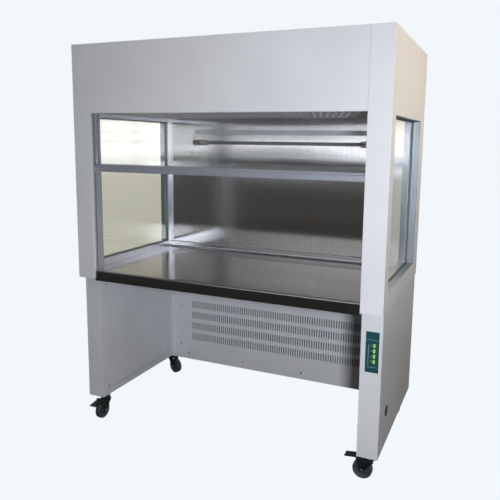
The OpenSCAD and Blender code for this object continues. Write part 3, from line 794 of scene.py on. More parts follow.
@dataclass
class Chamber:
    """The stainless lining, the windows and the ceiling."""

    bench: Bench
    pane_thickness: float = 0.006
    edge_inset: float = 0.0022
    edge_line: float = 0.0016
    edge_proud: float = 0.00015
    bead: float = 0.0016
    bead_gap: float = 0.002

    def build(self) -> None:
        """Dresses the linings and builds the side panes."""
        self.bench.dress(Coat.LINER, "back_liner")
        # The side liners take the near-white steel, which is partly painted highlight on the bright corner
        # strip.
        self.bench.dress(Coat.REVEAL_PAINTED_HIGHLIGHT, "side_liners", edge_mm=0.5)
        self.bench.dress(Coat.FRAME, "window_frames", edge_mm=0.5)
        self.bench.dress(Coat.SEAL, "window_gaskets", edge_mm=1.0)
        self.bench.dress(Coat.CABINET, "diffuser_plate")
        self.side_panes()
        self.corner_seal()

    def side_panes(self) -> None:
        """One pane in each side window, standing for the CAD panes."""
        low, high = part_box("side_glass")
        thickness = self.pane_thickness
        mesh = bmesh.new()
        for x0, x1 in ((low.x, low.x + thickness), (high.x - thickness, high.x)):
            Pane(Vector((x0, low.y, low.z)), Vector((x1, high.y, high.z))).mesh_into(mesh)
        piece = finish_mesh("side_panes", mesh, (Coat.PANE, Coat.PANE_EDGE), smooth=False)
        self.bench.add(piece, "cabinet", "clear_glass", ["side_glass"])
        self.pane_edges(low, high, thickness)

    def pane_edges(self, low: Vector, high: Vector, thickness: float) -> None:
        """The green line where light comes out of each pane's rim, beside the seal.

        Args:
            low: lowest corner of both panes together.
            high: highest corner of both.
            thickness: thickness of one pane.
        """
        mesh = bmesh.new()
        rim, line, proud = self.edge_inset, self.edge_line, self.edge_proud
        y0, y1, z0, z1 = low.y + rim, high.y - rim, low.z + rim, high.z - rim
        for x0, x1 in ((low.x, low.x + thickness), (high.x - thickness, high.x)):
            for first, second in (((y0, z0), (y0 + line, z1)), ((y1 - line, z0), (y1, z1)),
                                  ((y0 + line, z0), (y1 - line, z0 + line)),
                                  ((y0 + line, z1 - line), (y1 - line, z1))):
                add_block(mesh, (x0 - proud, first[0], first[1]), (x1 + proud, second[0], second[1]))
        piece = finish_mesh("pane_edge_lines", mesh, (Coat.PANE_EDGE,), smooth=False)
        self.bench.add(piece, "cabinet", "clear_glass")

    def corner_seal(self) -> None:
        """A thin bead of sealant where the upstand meets the back liner."""
        liner_low, liner_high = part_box("back_liner")
        top_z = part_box("worktop")[1].z
        mesh = bmesh.new()
        outline = arc((0, 0), self.bead, 0, 90, 4) + [(0, 0)]
        length = liner_high.x - liner_low.x - 2 * self.bead_gap
        place = Matrix(((0, 0, 1, liner_low.x + self.bead_gap), (-1, 0, 0, liner_low.y), (0, 1, 0, top_z),
                        (0, 0, 0, 1)))
        add_prism(mesh, outline, length, place)
        self.bench.add(finish_mesh("liner_sealant", mesh, (Coat.SEALANT,)), "cabinet", "rubber")


@dataclass
class Worktop:
    """The folded stainless worktop and the pan under it."""

    bench: Bench
    upstand: float = 0.0015
    cove_radius: float = 0.009
    roll_radius: float = 0.0016
    lift: float = 0.00005

    def build(self) -> None:
        """Dresses the worktop, its pan and its beam."""
        self.bench.dress(Coat.WORKTOP, "worktop")
        self.bench.dress(Coat.INNER, "worktop_pan", "rear_beam")
        self.cove()

    def cove(self) -> None:
        """The hollow bend between the skin and the upstand, and the rolled edge along the upstand."""
        low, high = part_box("worktop")
        skin = self.bench.mount("work_surface").z
        face = high.y - self.upstand
        radius, lift, roll_radius = self.cove_radius, self.lift, self.roll_radius
        bend = [(face - lift, skin + lift), (face - radius, skin + lift),
                *arc((face - radius, skin + radius), radius - lift, -88, -2, 8), (face - lift, skin + radius)]
        back = face + 2 * lift
        roll = [(back, high.z - 1.5 * MM),
                *arc((face - 1.2 * MM, high.z - roll_radius), roll_radius, 250, 90, 8), (back, high.z)]
        mesh = bmesh.new()
        length = high.x - low.x - 1 * MM
        place = Matrix(((0, 0, 1, low.x + 0.5 * MM), (1, 0, 0, 0), (0, 1, 0, 0), (0, 0, 0, 1)))
        for outline in (bend, roll):
            add_prism(mesh, outline, length, place)
        # The cove takes the near-white steel, so its bend shows partly as a painted highlight line.
        self.bench.add(finish_mesh("worktop_cove", mesh, (Coat.REVEAL_PAINTED_HIGHLIGHT,)), "cabinet", "stainless")


@dataclass
class Sash:
    """The sliding pane with its rail and shoes, the guides and the fixed pane."""

    bench: Bench

    def build(self) -> None:
        """Builds the two front panes and dresses the extrusions."""
        self.bench.dress(Coat.RAIL, "guide_rails", edge_mm=0.6)
        self.bench.dress(Coat.CROSS_RAIL, "sash_rail", edge_mm=1.2)
        self.bench.dress(Coat.NYLON, "sash_shoes", edge_mm=1.0)
        self.pane("sliding_pane", "sash_glass", "sash")
        self.pane("upper_pane", "fixed_pane", "cabinet")

    def pane(self, name: str, node: str, body: str) -> None:
        """Builds one pane in place of its CAD node.

        Args:
            name: the new piece's name.
            node: the CAD node that it stands for.
            body: the body that carries it.
        """
        mesh = bmesh.new()
        low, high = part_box(node)
        Pane(low, high).mesh_into(mesh)
        piece = finish_mesh(name, mesh, (Coat.FRONT_PANE, Coat.PANE_EDGE), smooth=False)
        self.bench.add(piece, body, "clear_glass", [node])


@dataclass
class Lamp:
    """The chamber's lamp: a batten, two holders and a tube with metal caps."""

    bench: Bench
    cap_length: float = 0.012

    def build(self) -> None:
        """Dresses the batten and builds the tube."""
        self.bench.dress(Coat.BATTEN, "lamp_batten", edge_mm=2.0)
        self.bench.dress(Coat.BLACK, "lamp_holders", edge_mm=1.0)
        self.tube()

    def tube(self) -> None:
        """A glass tube drawn in at its ends, with an aluminium cap on each end."""
        low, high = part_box("lamp_tube")
        radius = (high.z - low.z) / 2
        length = high.x - low.x
        cap = self.cap_length
        neck = radius * 0.94
        glass = [(0, cap * 0.5), (neck, cap * 0.5), (neck, cap), (radius, cap + 3 * MM),
                 (radius, length - cap - 3 * MM), (neck, length - cap), (neck, length - cap * 0.5),
                 (0, length - cap * 0.5)]
        place = facing("+X", (low.x, (low.y + high.y) / 2, (low.z + high.z) / 2))
        mesh = bmesh.new()
        add_lathe(mesh, glass, place, 32)
        for start, end in ((0, cap), (length, length - cap)):
            inner = start + (end - start) * 0.12
            add_lathe(mesh, [(0, start), (radius * 0.86, start), (radius * 0.99, inner), (radius * 0.99, end),
                             (neck, end)], place, 32, 1)
        piece = finish_mesh("lamp_tube_capped", mesh, (Coat.TUBE, Coat.ZINC))
        self.bench.add(piece, "cabinet", "lamp_glass", ["lamp_tube"])


@dataclass
class AirSupply:
    """Filter, fan deck, impeller and motor over the ceiling."""

    bench: Bench

    def build(self) -> None:
        """Dresses the parts that show only when the bench is opened."""
        self.bench.dress(Coat.INNER, "plenum_box")
        self.bench.dress(Coat.RAIL, "filter_frame")
        self.bench.dress(Coat.PAPER, "filter_media")
        # The prefilter's dark grey is painted shade seen through the intake slots.
        self.bench.dress(Coat.MAT, "prefilter")
        self.bench.dress(Coat.ZINC, "fan_deck", "blower_impeller")
        self.bench.dress(Coat.ENAMEL, "blower_motor")


@dataclass
class Stand:
    """Leg cabinets, intake panel and lower back."""

    bench: Bench
    screw_radius: float = 0.0045
    screw_height: float = 0.0018
    cross_depth: float = 0.00012

    def build(self) -> None:
        """Dresses the sheets and builds the screws."""
        self.bench.dress(Coat.STAND, "left_leg_front_cover", "right_leg_front_cover", "left_leg_outer_panel",
                         "right_leg_outer_panel", "left_leg_inner_panel", "right_leg_inner_panel",
                         "leg_access_covers", "lower_back_panel", edge_mm=0.6)
        self.bench.dress(Coat.STAND, "intake_panel", "compartment_floor")
        self.bench.dress(Coat.ZINC, "leg_frames")
        self.screws()

    def screws(self) -> None:
        """Pan head screws with a cross recess, one on each screw of the frame."""
        mesh = bmesh.new()
        for place in self.screw_places():
            self.screw(mesh, place)
        self.bench.add(finish_mesh("pan_head_screws", mesh, (Coat.ZINC, Coat.BLACK)), "cabinet", "zinc_steel",
                       ["panel_screws"])

    def screw_places(self) -> list[Matrix]:
        """Where each screw stands, found from the loose solids of the frame's screws.

        Returns:
            A placement for each screw, facing outwards.
        """
        source = self.bench.nodes["panel_screws"]
        islands = bmesh.new()
        islands.from_mesh(source.data)
        bmesh.ops.remove_doubles(islands, verts=islands.verts, dist=1e-5)
        left = set(islands.verts)
        places = []
        while left:
            group = {left.pop()}
            queue = list(group)
            while queue:
                for edge in queue.pop().link_edges:
                    for other in edge.verts:
                        if other in left:
                            left.remove(other)
                            group.add(other)
                            queue.append(other)
            low = Vector([min(v.co[i] for v in group) for i in range(3)])
            high = Vector([max(v.co[i] for v in group) for i in range(3)])
            size = high - low
            centre = (low + high) / 2
            if size.y < size.x:
                places.append(facing("-Y", (centre.x, high.y, centre.z)))
            elif centre.x > 0:
                places.append(facing("-X", (high.x, centre.y, centre.z)))
            else:
                places.append(facing("+X", (low.x, centre.y, centre.z)))
        islands.free()
        return sorted(places, key=lambda m: tuple(m.translation))

    def screw(self, mesh: bmesh.types.BMesh, place: Matrix) -> None:
        """One domed head with a cross cut into it.

        Args:
            mesh: the mesh that gets the screw.
            place: where the screw stands.
        """
        radius, height = self.screw_radius, self.screw_height
        dome = [(0, height), (radius * 0.3, height * 0.98), (radius * 0.62, height * 0.86),
                (radius * 0.88, height * 0.6), (radius, height * 0.3), (radius, 0), (0, 0)]
        add_lathe(mesh, dome, place, 20)
        arm, width = radius * 0.5, radius * 0.13
        for size in ((arm, width), (width, arm)):
            corners = rounded_rectangle((-size[0], -size[1]), size, width * 0.5, 1)
            add_prism(mesh, corners, self.cross_depth, place @ Matrix.Translation((0, 0, height * 0.94)), 1)


@dataclass
class ControlPanel:
    """The screen-printed control panel with its keys and indicator lamps."""

    bench: Bench
    rim: float = 0.0028
    step: float = 0.0006
    key_gap: float = 0.0004
    ink: float = 0.00015
    dot_radius: float = 0.0014
    keys: tuple[str, ...] = ("key_socket", "key_light", "key_speed", "key_blower")

    def build(self) -> None:
        """Builds the face, the printed lines, the lamps and the keys."""
        self.face()
        self.print_lines()
        for name in self.keys:
            self.key(name)

    def face(self) -> None:
        """The moulded face with a raised rim and a well for each key."""
        low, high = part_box("control_panel")
        front, back = low.y, high.y
        mesh = bmesh.new()
        wells = sorted((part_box(name) for name in self.keys), key=lambda pair: pair[0].z)
        gap, step = self.key_gap, self.step
        x_left, x_right = wells[0][0].x - gap, wells[0][1].x + gap
        add_block(mesh, (low.x, front + step, low.z), (x_left, back, high.z))
        add_block(mesh, (x_right, front + step, low.z), (high.x, back, high.z))
        levels = [low.z] + [z for pair in wells for z in (pair[0].z - gap, pair[1].z + gap)] + [high.z]
        for z0, z1 in zip(levels[::2], levels[1::2]):
            add_block(mesh, (x_left, front + step, z0), (x_right, back, z1))
        piece = finish_mesh("panel_face", mesh, (Coat.PANEL,), smooth=False)
        self.bench.add(piece, "cabinet", "panel_face", ["control_panel"])
        self.rim_frame(low, high)

    def rim_frame(self, low: Vector, high: Vector) -> None:
        """The raised rim around the face.

        Args:
            low: lowest corner of the panel.
            high: highest corner of the panel.
        """
        mesh = bmesh.new()
        rim, step = self.rim, self.step
        bars = (((low.x, low.z), (high.x, low.z + rim)), ((low.x, high.z - rim), (high.x, high.z)),
                ((low.x, low.z + rim), (low.x + rim, high.z - rim)),
                ((high.x - rim, low.z + rim), (high.x, high.z - rim)))
        for first, second in bars:
            add_block(mesh, (first[0], low.y, first[1]), (second[0], low.y + step, second[1]))
        piece = finish_mesh("panel_rim", mesh, (Coat.PANEL,), smooth=False)
        self.bench.add(piece, "cabinet", "panel_face")

    def print_lines(self) -> None:
        """Printed fields and rules, and a small round lamp beside each key."""
        low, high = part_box("control_panel")
        front, skin = low.y + self.step, self.ink
        wells = [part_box(name) for name in self.keys]
        z0 = min(pair[0].z for pair in wells) - 9 * MM
        z1 = max(pair[1].z for pair in wells) + 9 * MM
        inset = 5 * MM
        mesh = bmesh.new()
        side = 3.5 * MM
        x_left, x_right = wells[0][0].x - 0.8 * MM, wells[0][1].x + 0.8 * MM
        add_block(mesh, (x_right, front - skin, z0), (high.x - side, front, z1), 0)
        for z in (z0 - 6 * MM, z1 + 5 * MM):
            add_block(mesh, (low.x + inset, front - skin, z), (high.x - inset, front, z + 1.2 * MM), 1)
        rule_x = low.x + 9 * MM
        add_block(mesh, (rule_x, front - skin, z0 + 4 * MM), (rule_x + 1.4 * MM, front, z1 - 12 * MM), 1)
        for pair in wells:
            centre = (x_left - 5.5 * MM, front, (pair[0].z + pair[1].z) / 2)
            dome = [(0, 0.9 * MM), (1.0 * MM, 0.7 * MM), (self.dot_radius, 0)]
            add_lathe(mesh, dome, facing("-Y", centre), 20, 2)
        piece = finish_mesh("panel_print", mesh, (Coat.PANEL_FIELD, Coat.PANEL_LINE, Coat.LAMP_DOT))
        self.bench.add(piece, "cabinet", "panel_face")

    def key(self, name: str) -> None:
        """A push key with rounded corners and a slightly dished top.

        Args:
            name: the key's CAD node and body.
        """
        low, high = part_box(name)
        mesh = bmesh.new()
        depth = high.y - low.y
        centre = ((low.x + high.x) / 2, high.y, (low.z + high.z) / 2)
        half = ((high.x - low.x) / 2, (high.z - low.z) / 2)
        place = facing("-Y", centre)
        profile = ((0.0, 0.0), (0.0, depth - 0.7 * MM), (0.25 * MM, depth - 0.2 * MM), (0.8 * MM, depth),
                   (1.6 * MM, depth - 0.25 * MM))
        rings = []
        for inset, height in profile:
            shape = rounded_rectangle((-half[0] + inset, -half[1] + inset),
                                      (half[0] - inset, half[1] - inset), 1.7 * MM - inset * 0.6, 4)
            rings.append([mesh.verts.new(place @ Vector((x, y, height))) for x, y in shape])
        mesh.faces.new(rings[0][::-1])
        mesh.faces.new(rings[-1])
        count = len(rings[0])
        for first, second in zip(rings, rings[1:]):
            for i in range(count):
                mesh.faces.new([first[i], first[(i + 1) % count], second[(i + 1) % count], second[i]])
        self.bench.add(finish_mesh(f"{name}_cap", mesh, (Coat.KEY,)), name, "lit_key", [name])


@dataclass
class PowerInlet:
    """The round flanged appliance inlet, low on the right leg."""

    bench: Bench
    pin_radius: float = 0.002

    def build(self) -> None:
        """Builds the flange, its well and three pins."""
        low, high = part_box("power_inlet")
        radius = (high.z - low.z) / 2
        rise = high.x - low.x
        place = facing("+X", (low.x, (low.y + high.y) / 2, (low.z + high.z) / 2))
        mesh = bmesh.new()
        well = radius * 0.7
        flange = [(0, 0.0), (radius, 0.0), (radius, rise * 0.55), (radius * 0.96, rise * 0.85),
                  (radius * 0.9, rise * 0.95), (well + 1.2 * MM, rise * 0.95), (well + 0.6 * MM, rise),
                  (well, rise * 0.9), (well, rise * 0.3), (0, rise * 0.3)]
        add_lathe(mesh, flange, place, 48)
        pin = self.pin_radius
        for i in range(3):
            turn = place @ Matrix.Rotation(math.radians(120 * i + 90), 4, "Z")
            turn = turn @ Matrix.Translation((well / 2, 0, 0))
            tip = rise * 0.92
            add_lathe(mesh, [(pin, rise * 0.3), (pin, rise * 0.75), (pin * 0.6, tip), (0, tip)], turn, 16, 1)
        piece = finish_mesh("inlet_flange", mesh, (Coat.BLACK, Coat.PIN))
        self.bench.add(piece, "cabinet", "black_plastic", ["power_inlet"])


@dataclass
class Castor:
    """A swivel castor: pressed fork, rubber-tyred wheel and, on the front pair, a brake pedal.

    Its sizes are in millimetres. The wheel's radius and its trail come from the record's joints.
    """

    bench: Bench
    corner: str
    braked: bool
    half_width: float = 12.5
    side_gap: float = 2.0
    sheet: float = 3.0
    tyre_depth: float = 11.0
    tyre_round: float = 5.0
    bore: float = 4.05
    ribs: int = 6
    kingpin: float = 5.05
    head_radius: float = 20.0
    head_top: float = 107.5
    crown_gap: float = 6.0
    eye: float = 9.0
    bolt: float = 4.0
    pedal_pin: float = 2.5
    pedal_tip: float = 96.0
    tread_half: float = 16.0
    tread_ribs: int = 4
    tread_pitch: float = 8.0
    sheet_edge: float = 0.6
    pedal_edge: float = 0.8
    edge_deg: float = 40.0

    def joint(self, suffix: str) -> dict:
        """This castor's joint of that kind, from the record."""
        joints = self.bench.record["behaviour"]["joints"]
        return next(j for j in joints if j["name"] == f"{self.corner}_{suffix}")

    def build(self) -> None:
        """Finds the castor's own axes, along its trail and its axle, and builds its parts there."""
        swivel = Vector(self.joint("swivel")["pos_m"])
        roll = self.joint("roll")
        axle = Vector(roll["pos_m"])
        side = Vector(roll["axis"])
        forward = side.cross(Vector((0, 0, 1)))
        self.place = Matrix((
            (forward.x, side.x, 0, swivel.x),
            (forward.y, side.y, 0, swivel.y),
            (0, 0, 1, 0),
            (0, 0, 0, 1)))
        self.trail = (axle - swivel).xy.length / MM
        self.radius = axle.z / MM
        self.crown = 2 * self.radius + self.crown_gap
        self.inner = self.half_width + self.side_gap
        self.outer = self.inner + self.sheet
        self.axle = self.place @ facing("+Y", (self.trail * MM, 0, self.radius * MM))
        self.wheel()
        self.fork()
        if self.braked:
            self.pedal()

    def upright(self, y: float) -> Matrix:
        """A placement that stands an outline of (along, up) upright, with its near face at y."""
        return self.place @ Matrix.Translation((0, y * MM, 0)) @ Matrix.Rotation(math.pi / 2, 4, "X")

    def wheel(self) -> None:
        """A moulded hub with a rubber tyre, lathed about the axle."""
        radius, half, bend = self.radius, self.half_width, self.tyre_round
        rim = radius - self.tyre_depth
        mesh = bmesh.new()
        tyre = [(rim, 4 - half), (radius - 5.5, -half), *arc((radius - bend, bend - half), bend, -90, -12),
                (radius, 0), *arc((radius - bend, half - bend), bend, 12, 90), (radius - 5.5, half),
                (rim, half - 4), (rim, 4 - half)]
        add_lathe(mesh, in_mm(tyre), self.axle, 64, 0)
        side = [(self.bore, half), (9, half), (11, half - 1.5), (12, half - 8), (rim - 4, half - 8.5),
                (rim - 2, half - 4.5), (rim, half - 3.6)]
        hub = [(r, -y) for r, y in side] + side[::-1] + [(self.bore, -half)]
        add_lathe(mesh, in_mm(hub), self.axle, 64, 1)
        rib = in_mm(rounded_rectangle((11, -1.3), (rim - 1.5, 1.3), 0.6, 2))
        for i in range(self.ribs):
            spoke = self.axle @ Matrix.Rotation(2 * math.pi * i / self.ribs, 4, "Z")
            for start, end in ((3.5 - half, 9 - half), (half - 9, half - 3.5)):
                add_prism(mesh, rib, (end - start) * MM, spoke @ Matrix.Translation((0, 0, start * MM)), 1)
        piece = finish_mesh(f"{self.corner}_tyred_wheel", mesh, (Coat.TYRE, Coat.HUB))
        self.bench.add(piece, f"{self.corner}_wheel", "wheel_rubber", [f"{self.corner}_wheel"])

    def fork(self) -> None:
        """Swivel head, crown, two tapered cheeks and the axle bolt with its nuts."""
        crown, outer = self.crown, self.outer
        head_r, pin_r, top = self.head_radius, self.kingpin, self.head_top
        mesh = bmesh.new()
        head = [(pin_r, crown), (head_r + 1, crown), (head_r + 1, crown + 4), (head_r - 2, crown + 6),
                (head_r - 3, crown + 10), (head_r, crown + 14), (head_r, top - 2), (head_r - 2, top),
                (pin_r, top), (pin_r, crown)]
        add_lathe(mesh, in_mm(head), self.place, 48)
        deck = rounded_rectangle((-15, -outer), (self.trail - 2, outer), 3, 4)
        add_prism(mesh, in_mm(deck), 3.6 * MM, self.place @ Matrix.Translation((0, 0, (crown + 0.2) * MM)))
        for y in (-self.inner, outer):
            add_prism(mesh, in_mm(self.cheek()), self.sheet * MM, self.upright(y))
        bolt = [(0, -outer - 1), (self.bolt, -outer - 1), (self.bolt, outer + 1), (0, outer + 1)]
        add_lathe(mesh, in_mm(bolt), self.axle, 24, 1)
        for z in (-outer - 3, outer):
            nut = [(0, z), (6.2, z), (6.5, z + 0.4), (6.5, z + 2.6), (6.2, z + 3), (0, z + 3)]
            add_lathe(mesh, in_mm(nut), self.axle, 6, 1)
        piece = finish_mesh(f"{self.corner}_pressed_fork", mesh, (Coat.ENAMEL, Coat.ZINC))
        round_edges(piece, self.sheet_edge, 2, self.edge_deg)
        self.bench.add(piece, f"{self.corner}_fork", "black_steel", [f"{self.corner}_fork"])

    def cheek(self) -> Outline:
        """Outline of a cheek, with a lug for the pedal's pin on a braked castor.

        Returns:
            Points in (along, up), in millimetres.
        """
        crown = self.crown
        ear = arc((self.trail, self.radius), self.eye, 195, 350, 10)
        outline = [(-14, crown + 3), (-16, crown - 6), *ear]
        if self.braked:
            outline += [(47, crown - 10), (47, crown + 9), (45, crown + 11), (34, crown + 11),
                        (32, crown + 9)]
        return outline + [(26, crown + 3)]

    def pedal(self) -> None:
        """The pedal's pin, its arm with the brake shoe and a ribbed tread."""
        pivot = Vector(self.joint("brake")["pos_m"])
        x0, z0 = (pivot - self.place.translation).xy.length / MM, pivot.z / MM
        tip, outer = self.pedal_tip, self.outer
        mesh = bmesh.new()
        pin = [(0, -outer), (self.pedal_pin, -outer), (self.pedal_pin, outer), (0, outer)]
        add_lathe(mesh, in_mm(pin), self.place @ facing("+Y", (x0 * MM, 0, z0 * MM)), 20, 1)
        arm = [(x0 - 5, z0 - 3.5), (x0 + 3, z0 - 13), (x0 + 11, z0 - 15.5), (x0 + 12, z0 - 5),
               (x0 + 12, z0 + 2), (x0 + 5, z0 + 4), (x0 - 5, z0 + 4)]
        tread = [(x0 + 10, z0 - 5), (tip - 3, z0 - 9), (tip, z0 - 7.5), (tip - 1, z0 - 4), (x0 + 10, z0 + 1)]
        for outline, half in ((arm, self.inner - 0.5), (tread, self.tread_half)):
            add_prism(mesh, in_mm(outline), 2 * half * MM, self.upright(half))
        slope = -5 / (tip - x0 - 11)
        for i in range(self.tread_ribs):
            x = x0 + 20 + i * self.tread_pitch
            z = z0 + 0.2 + slope * (x - x0 - 10)
            low, high = Vector((x - 1.2, -13, z - 0.6)), Vector((x + 1.2, 13, z + 0.8))
            add_block(mesh, low * MM, high * MM, place=self.place)
        piece = finish_mesh(f"{self.corner}_brake_pedal", mesh, (Coat.ENAMEL, Coat.ZINC))
        round_edges(piece, self.pedal_edge, 2, self.edge_deg)
        self.bench.add(piece, f"{self.corner}_pedal", "black_steel", [f"{self.corner}_pedal"])


# ---- Studio ----

def ramp_between(tree: bpy.types.NodeTree, axis: str, ends: tuple[float, float],
                 values: tuple[float, float] = (0.0, 1.0)) -> bpy.types.NodeSocket:
    """A value that changes with the direction of view.

    Args:
        tree: the world's node tree.
        axis: the direction's part, "X" across, "Y" deep or "Z" high.
        ends: where along it the change starts and ends, from -1 to 1.
        values: the value at each end.

    Returns:
        The value.
    """
    direction = add_node(tree, "ShaderNodeTexCoord").outputs["Generated"]
    part = add_node(tree, "ShaderNodeSeparateXYZ", inputs={"Vector": direction}).outputs[axis]
    node = add_node(tree, "ShaderNodeMapRange", inputs={
        "Value": part, "From Min": ends[0], "From Max": ends[1], "To Min": values[0], "To Max": values[1]})
    return node.outputs["Result"]


@dataclass(frozen=True)
class Wall:
    """One side of the room: bands of colour from straight down (-1) to straight up (1), and a gain
    that changes across the room."""

    bands: tuple[tuple[float, str], ...]
    gain: tuple[float, float] = (1.0, 1.0)
    across: tuple[float, float] = (-1.0, 1.0)

    def light(self, tree: bpy.types.NodeTree) -> bpy.types.NodeSocket:
        """The wall's colour by direction, times its gain.

        Args:
            tree: the world's node tree.

        Returns:
            The colour.
        """
        ramp = add_node(tree, "ShaderNodeValToRGB", inputs={"Fac": ramp_between(tree, "Z", (-1.0, 1.0))})
        stops = ramp.color_ramp.elements
        while len(stops) < len(self.bands):
            stops.new(0.5)
        for stop, (height, _) in zip(stops, self.bands):
            stop.position = (height + 1) / 2
        for stop, (_, code) in zip(stops, self.bands):
            stop.color = linear(code)
        scaled = add_node(tree, "ShaderNodeVectorMath", {"operation": "SCALE"}, {
            0: ramp.outputs["Color"], "Scale": ramp_between(tree, "X", self.across, self.gain)})
        return scaled.outputs["Vector"]


FILL = Wall(((-0.1, "2E2E2E"), (0.2, "3A3937"), (0.6, "90897F"), (1.0, "A0988C")))
DARK = Wall(((-1.0, "262423"), (-0.22, "2A2827"), (-0.13, "4A4846"), (0.3, "4A4846"), (0.7, "6A6C6E")))
WINDOW = Wall((
    (-0.06, "000000"), (-0.045, "34383C"), (-0.036, "666C72"), (-0.02, "8C9298"), (-0.011, "E4E6F2"),
    (-0.002, "E4E6F2"), (0.006, "868A92"), (0.021, "787C82"), (0.025, "C4C8CC"), (0.029, "787C82"),
    (0.08, "6C7278"), (0.14, "404040"), (1.0, "303234")), gain=(0.4, 3.5), across=(-0.53, -0.36))
CEILING_LAMP = Wall((
    (0.14, "000000"), (0.19, "A8A6AA"), (0.23, "B4B2B6"), (0.27, "181818"), (1.0, "101010")),
    gain=(0.1, 1.5), across=(-0.5, -0.3))
LEFT_WALL = Wall((
    (-1.0, "8C8A7E"), (-0.25, "A6A494"), (-0.055, "B8B6A8"), (-0.03, "FFFFF8"), (0.05, "FFFFF8"),
    (0.11, "A8A494"), (0.4, "A09C8E")), gain=(1.22, 1.22))
RIGHT_WALL = Wall((
    (-1.0, "202222"), (-0.36, "1C2020"), (-0.31, "444644"), (-0.27, "8E8E8C"), (-0.2, "A4A4A2"),
    (-0.06, "B2B3B2"), (-0.045, "E8ECF0"), (-0.03, "9CA6B0"), (-0.015, "F0E8DC"), (0.4, "EADFCE")),
    gain=(1.5, 1.5))


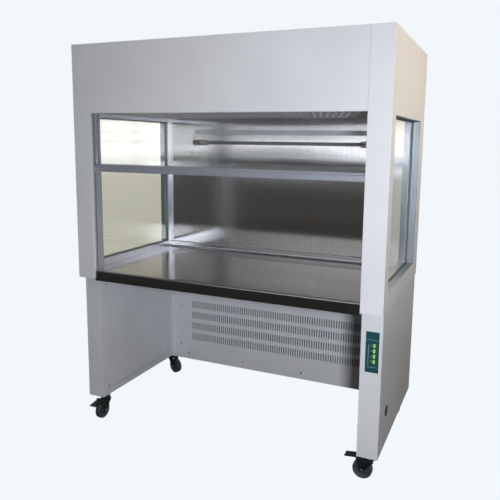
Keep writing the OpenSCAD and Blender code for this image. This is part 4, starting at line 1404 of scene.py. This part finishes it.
@dataclass
class Studio:
    """Pale floor, soft lights and the camera."""

    camera_place: Point = (1.0108, -2.2405, 1.2417)
    yaw: float = 0.40786
    pitch: float = 0.15006
    roll: float = 0.01315
    lens_mm: float = 41.11
    shift: tuple[float, float] = (-0.0238, -0.0431)
    backdrop: str = "F2F7FB"
    floor_size: float = 12.0
    wall_corner: tuple[float, float] = (-0.2, 0.0)
    wall_start: tuple[float, float] = (-0.1, 0.15)
    card_place: Point = (1.04, -2.36, 1.17)
    card_size: float = 0.4
    card_glow: float = 14.0

    def build(self) -> None:
        """Makes the world, the floor, the lights and the camera."""
        self.world()
        self.floor()
        self.lights()
        self.camera()

    def camera(self) -> None:
        """A camera at standing height, in front and to the right of the bench."""
        data = bpy.data.cameras.new("camera")
        data.lens = self.lens_mm
        data.sensor_width = 36
        data.shift_x, data.shift_y = self.shift
        eye = bpy.data.objects.new("camera", data)
        bpy.context.scene.collection.objects.link(eye)
        flat = math.cos(self.pitch)
        forward = Vector((-math.sin(self.yaw) * flat, math.cos(self.yaw) * flat, -math.sin(self.pitch)))
        level = Vector((math.cos(self.yaw), math.sin(self.yaw), 0))
        above = level.cross(forward)
        right = level * math.cos(self.roll) + above * math.sin(self.roll)
        up = above * math.cos(self.roll) - level * math.sin(self.roll)
        turn = Matrix((right, up, -forward)).transposed()
        eye.matrix_world = Matrix.Translation(self.camera_place) @ turn.to_4x4()
        bpy.context.scene.camera = eye

    def world(self) -> None:
        """A pale background, a dim even fill, and a room that only the polished steel and glass see."""
        bpy.context.scene.view_settings.view_transform = "Standard"
        world = bpy.data.worlds.new("studio")
        bpy.context.scene.world = world
        world.use_nodes = True
        tree = world.node_tree
        tree.nodes.clear()
        path = add_node(tree, "ShaderNodeLightPath")
        around = self.mixed(tree, path.outputs["Is Diffuse Ray"], self.room(tree), FILL.light(tree))
        seen = self.mixed(tree, path.outputs["Is Camera Ray"], around, linear(self.backdrop))
        back = add_node(tree, "ShaderNodeBackground", inputs={"Color": seen})
        add_node(tree, "ShaderNodeOutputWorld", inputs={"Surface": back.outputs["Background"]})

    def room(self, tree: bpy.types.NodeTree) -> bpy.types.NodeSocket:
        """The room by direction: dark in front with a bright window at eye height, pale walls behind.

        Args:
            tree: the world's node tree.

        Returns:
            The room's colour.
        """
        front = DARK.light(tree)
        for bright in (WINDOW, CEILING_LAMP):
            total = add_node(tree, "ShaderNodeVectorMath", {"operation": "ADD"},
                             {0: front, 1: bright.light(tree)})
            front = total.outputs["Vector"]
        behind = self.mixed(tree, ramp_between(tree, "X", self.wall_corner), LEFT_WALL.light(tree),
                            RIGHT_WALL.light(tree))
        return self.mixed(tree, ramp_between(tree, "Y", self.wall_start), front, behind)

    def mixed(self, tree: bpy.types.NodeTree, amount: bpy.types.NodeSocket, first: bpy.types.NodeSocket,
              second: bpy.types.NodeSocket | Sequence[float]) -> bpy.types.NodeSocket:
        """The first colour turned into the second by an amount."""
        mix = add_node(tree, "ShaderNodeMix", {"data_type": "RGBA"}, {0: amount, 6: first, 7: second})
        return mix.outputs[2]

    def floor(self) -> None:
        """A large pale floor that doesn't show in the polished steel."""
        mesh = bmesh.new()
        bmesh.ops.create_grid(mesh, x_segments=1, y_segments=1, size=self.floor_size)
        floor = link_mesh("floor", mesh)
        tree, shader = self.plain_material(floor, "studio_floor", "303234", "F0F6FA")
        path = add_node(tree, "ShaderNodeLightPath")
        shader.inputs["Roughness"].default_value = 0.9
        shader.inputs["Specular IOR Level"].default_value = 0.0
        tree.links.new(path.outputs["Is Camera Ray"], shader.inputs["Emission Strength"])
        floor.visible_glossy = False
        floor.visible_transmission = False

    def bright_card(self) -> None:
        """A small bright card behind the camera that only polished surfaces see."""
        x, y, z = self.card_place
        half = self.card_size / 2
        mesh = bmesh.new()
        add_block(mesh, (x - half, y, z - half), (x + half, y + 2 * MM, z + half))
        card = link_mesh("bright_card", mesh)
        _, shader = self.plain_material(card, "lit_card", "000000", "F0F4FF")
        shader.inputs["Emission Strength"].default_value = self.card_glow
        card.visible_camera = card.visible_diffuse = card.visible_transmission = False
        card.visible_shadow = False

    def plain_material(self, thing: bpy.types.Object, name: str, colour: str,
                       glow: str) -> tuple[bpy.types.NodeTree, bpy.types.Node]:
        """Gives a studio object a material of two sRGB hex colours.

        Args:
            thing: the floor or the card.
            name: the material's name.
            colour: the surface's own colour.
            glow: the colour of the light that it gives.

        Returns:
            The material's node tree and its shader.
        """
        made = bpy.data.materials.new(name)
        made.use_nodes = True
        shader = made.node_tree.nodes["Principled BSDF"]
        shader.inputs["Base Color"].default_value = linear(colour)
        shader.inputs["Emission Color"].default_value = linear(glow)
        thing.data.materials.append(made)
        return made.node_tree, shader

    def lights(self) -> None:
        """A soft light beside the camera, warm room light high on the right side, and one behind."""
        soft = bpy.data.lights.new("camera_light", "AREA")
        soft.size = 0.22
        self.hang(soft, (1.22, -2.2, 1.19), (0.0, 0.0, 0.8), 37, "F7F9FF")
        for name, place, aim, cone, watts, colour in (
                ("side_light", (3.0, 0.0, 2.1), (0.65, 0.05, 1.7), 47, 112, "FFE4C4"),
                ("back_light", (0.4, 3.2, 1.7), (0.0, 0.36, 0.85), 34, 190, "F4F2EE")):
            spot = bpy.data.lights.new(name, "SPOT")
            spot.spot_size = math.radians(cone)
            spot.spot_blend = 1.0
            spot.shadow_soft_size = 0.3
            self.hang(spot, place, aim, watts, colour)
        self.bright_card()

    def hang(self, data: bpy.types.Light, place: Point, aim: Point, watts: float, colour: str) -> None:
        """Places a light, aims it and keeps it out of the reflections.

        Args:
            data: the light.
            place: where it hangs.
            aim: the point that it faces.
            watts: its power.
            colour: its sRGB hex colour.
        """
        data.energy = watts
        data.color = linear(colour)[:3]
        lamp = bpy.data.objects.new(data.name, data)
        bpy.context.scene.collection.objects.link(lamp)
        lamp.location = place
        lamp.rotation_euler = (Vector(aim) - Vector(place)).to_track_quat("-Z", "Y").to_euler()
        lamp.visible_glossy = False


def main() -> None:
    """Builds the bench around its frame and reports each piece."""
    logging.basicConfig(level=logging.INFO, format="%(name)s: %(message)s")
    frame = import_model()
    bench = Bench(frame["nodes"], frame["record"])
    Studio().build()
    parts = [CabinetShell(bench), Chamber(bench), Worktop(bench), Sash(bench), Lamp(bench), AirSupply(bench),
             Stand(bench), ControlPanel(bench), PowerInlet(bench)]
    parts += [Castor(bench, f"{end}_{side}", end == "front") for end in ("front", "rear")
              for side in ("left", "right")]
    for part in parts:
        part.build()
    bench.dress(Coat.ZINC, "castor_plates", edge_mm=0.8)
    LOG.info("made %d new pieces", len(bench.made))


if __name__ == "__main__":
    main()
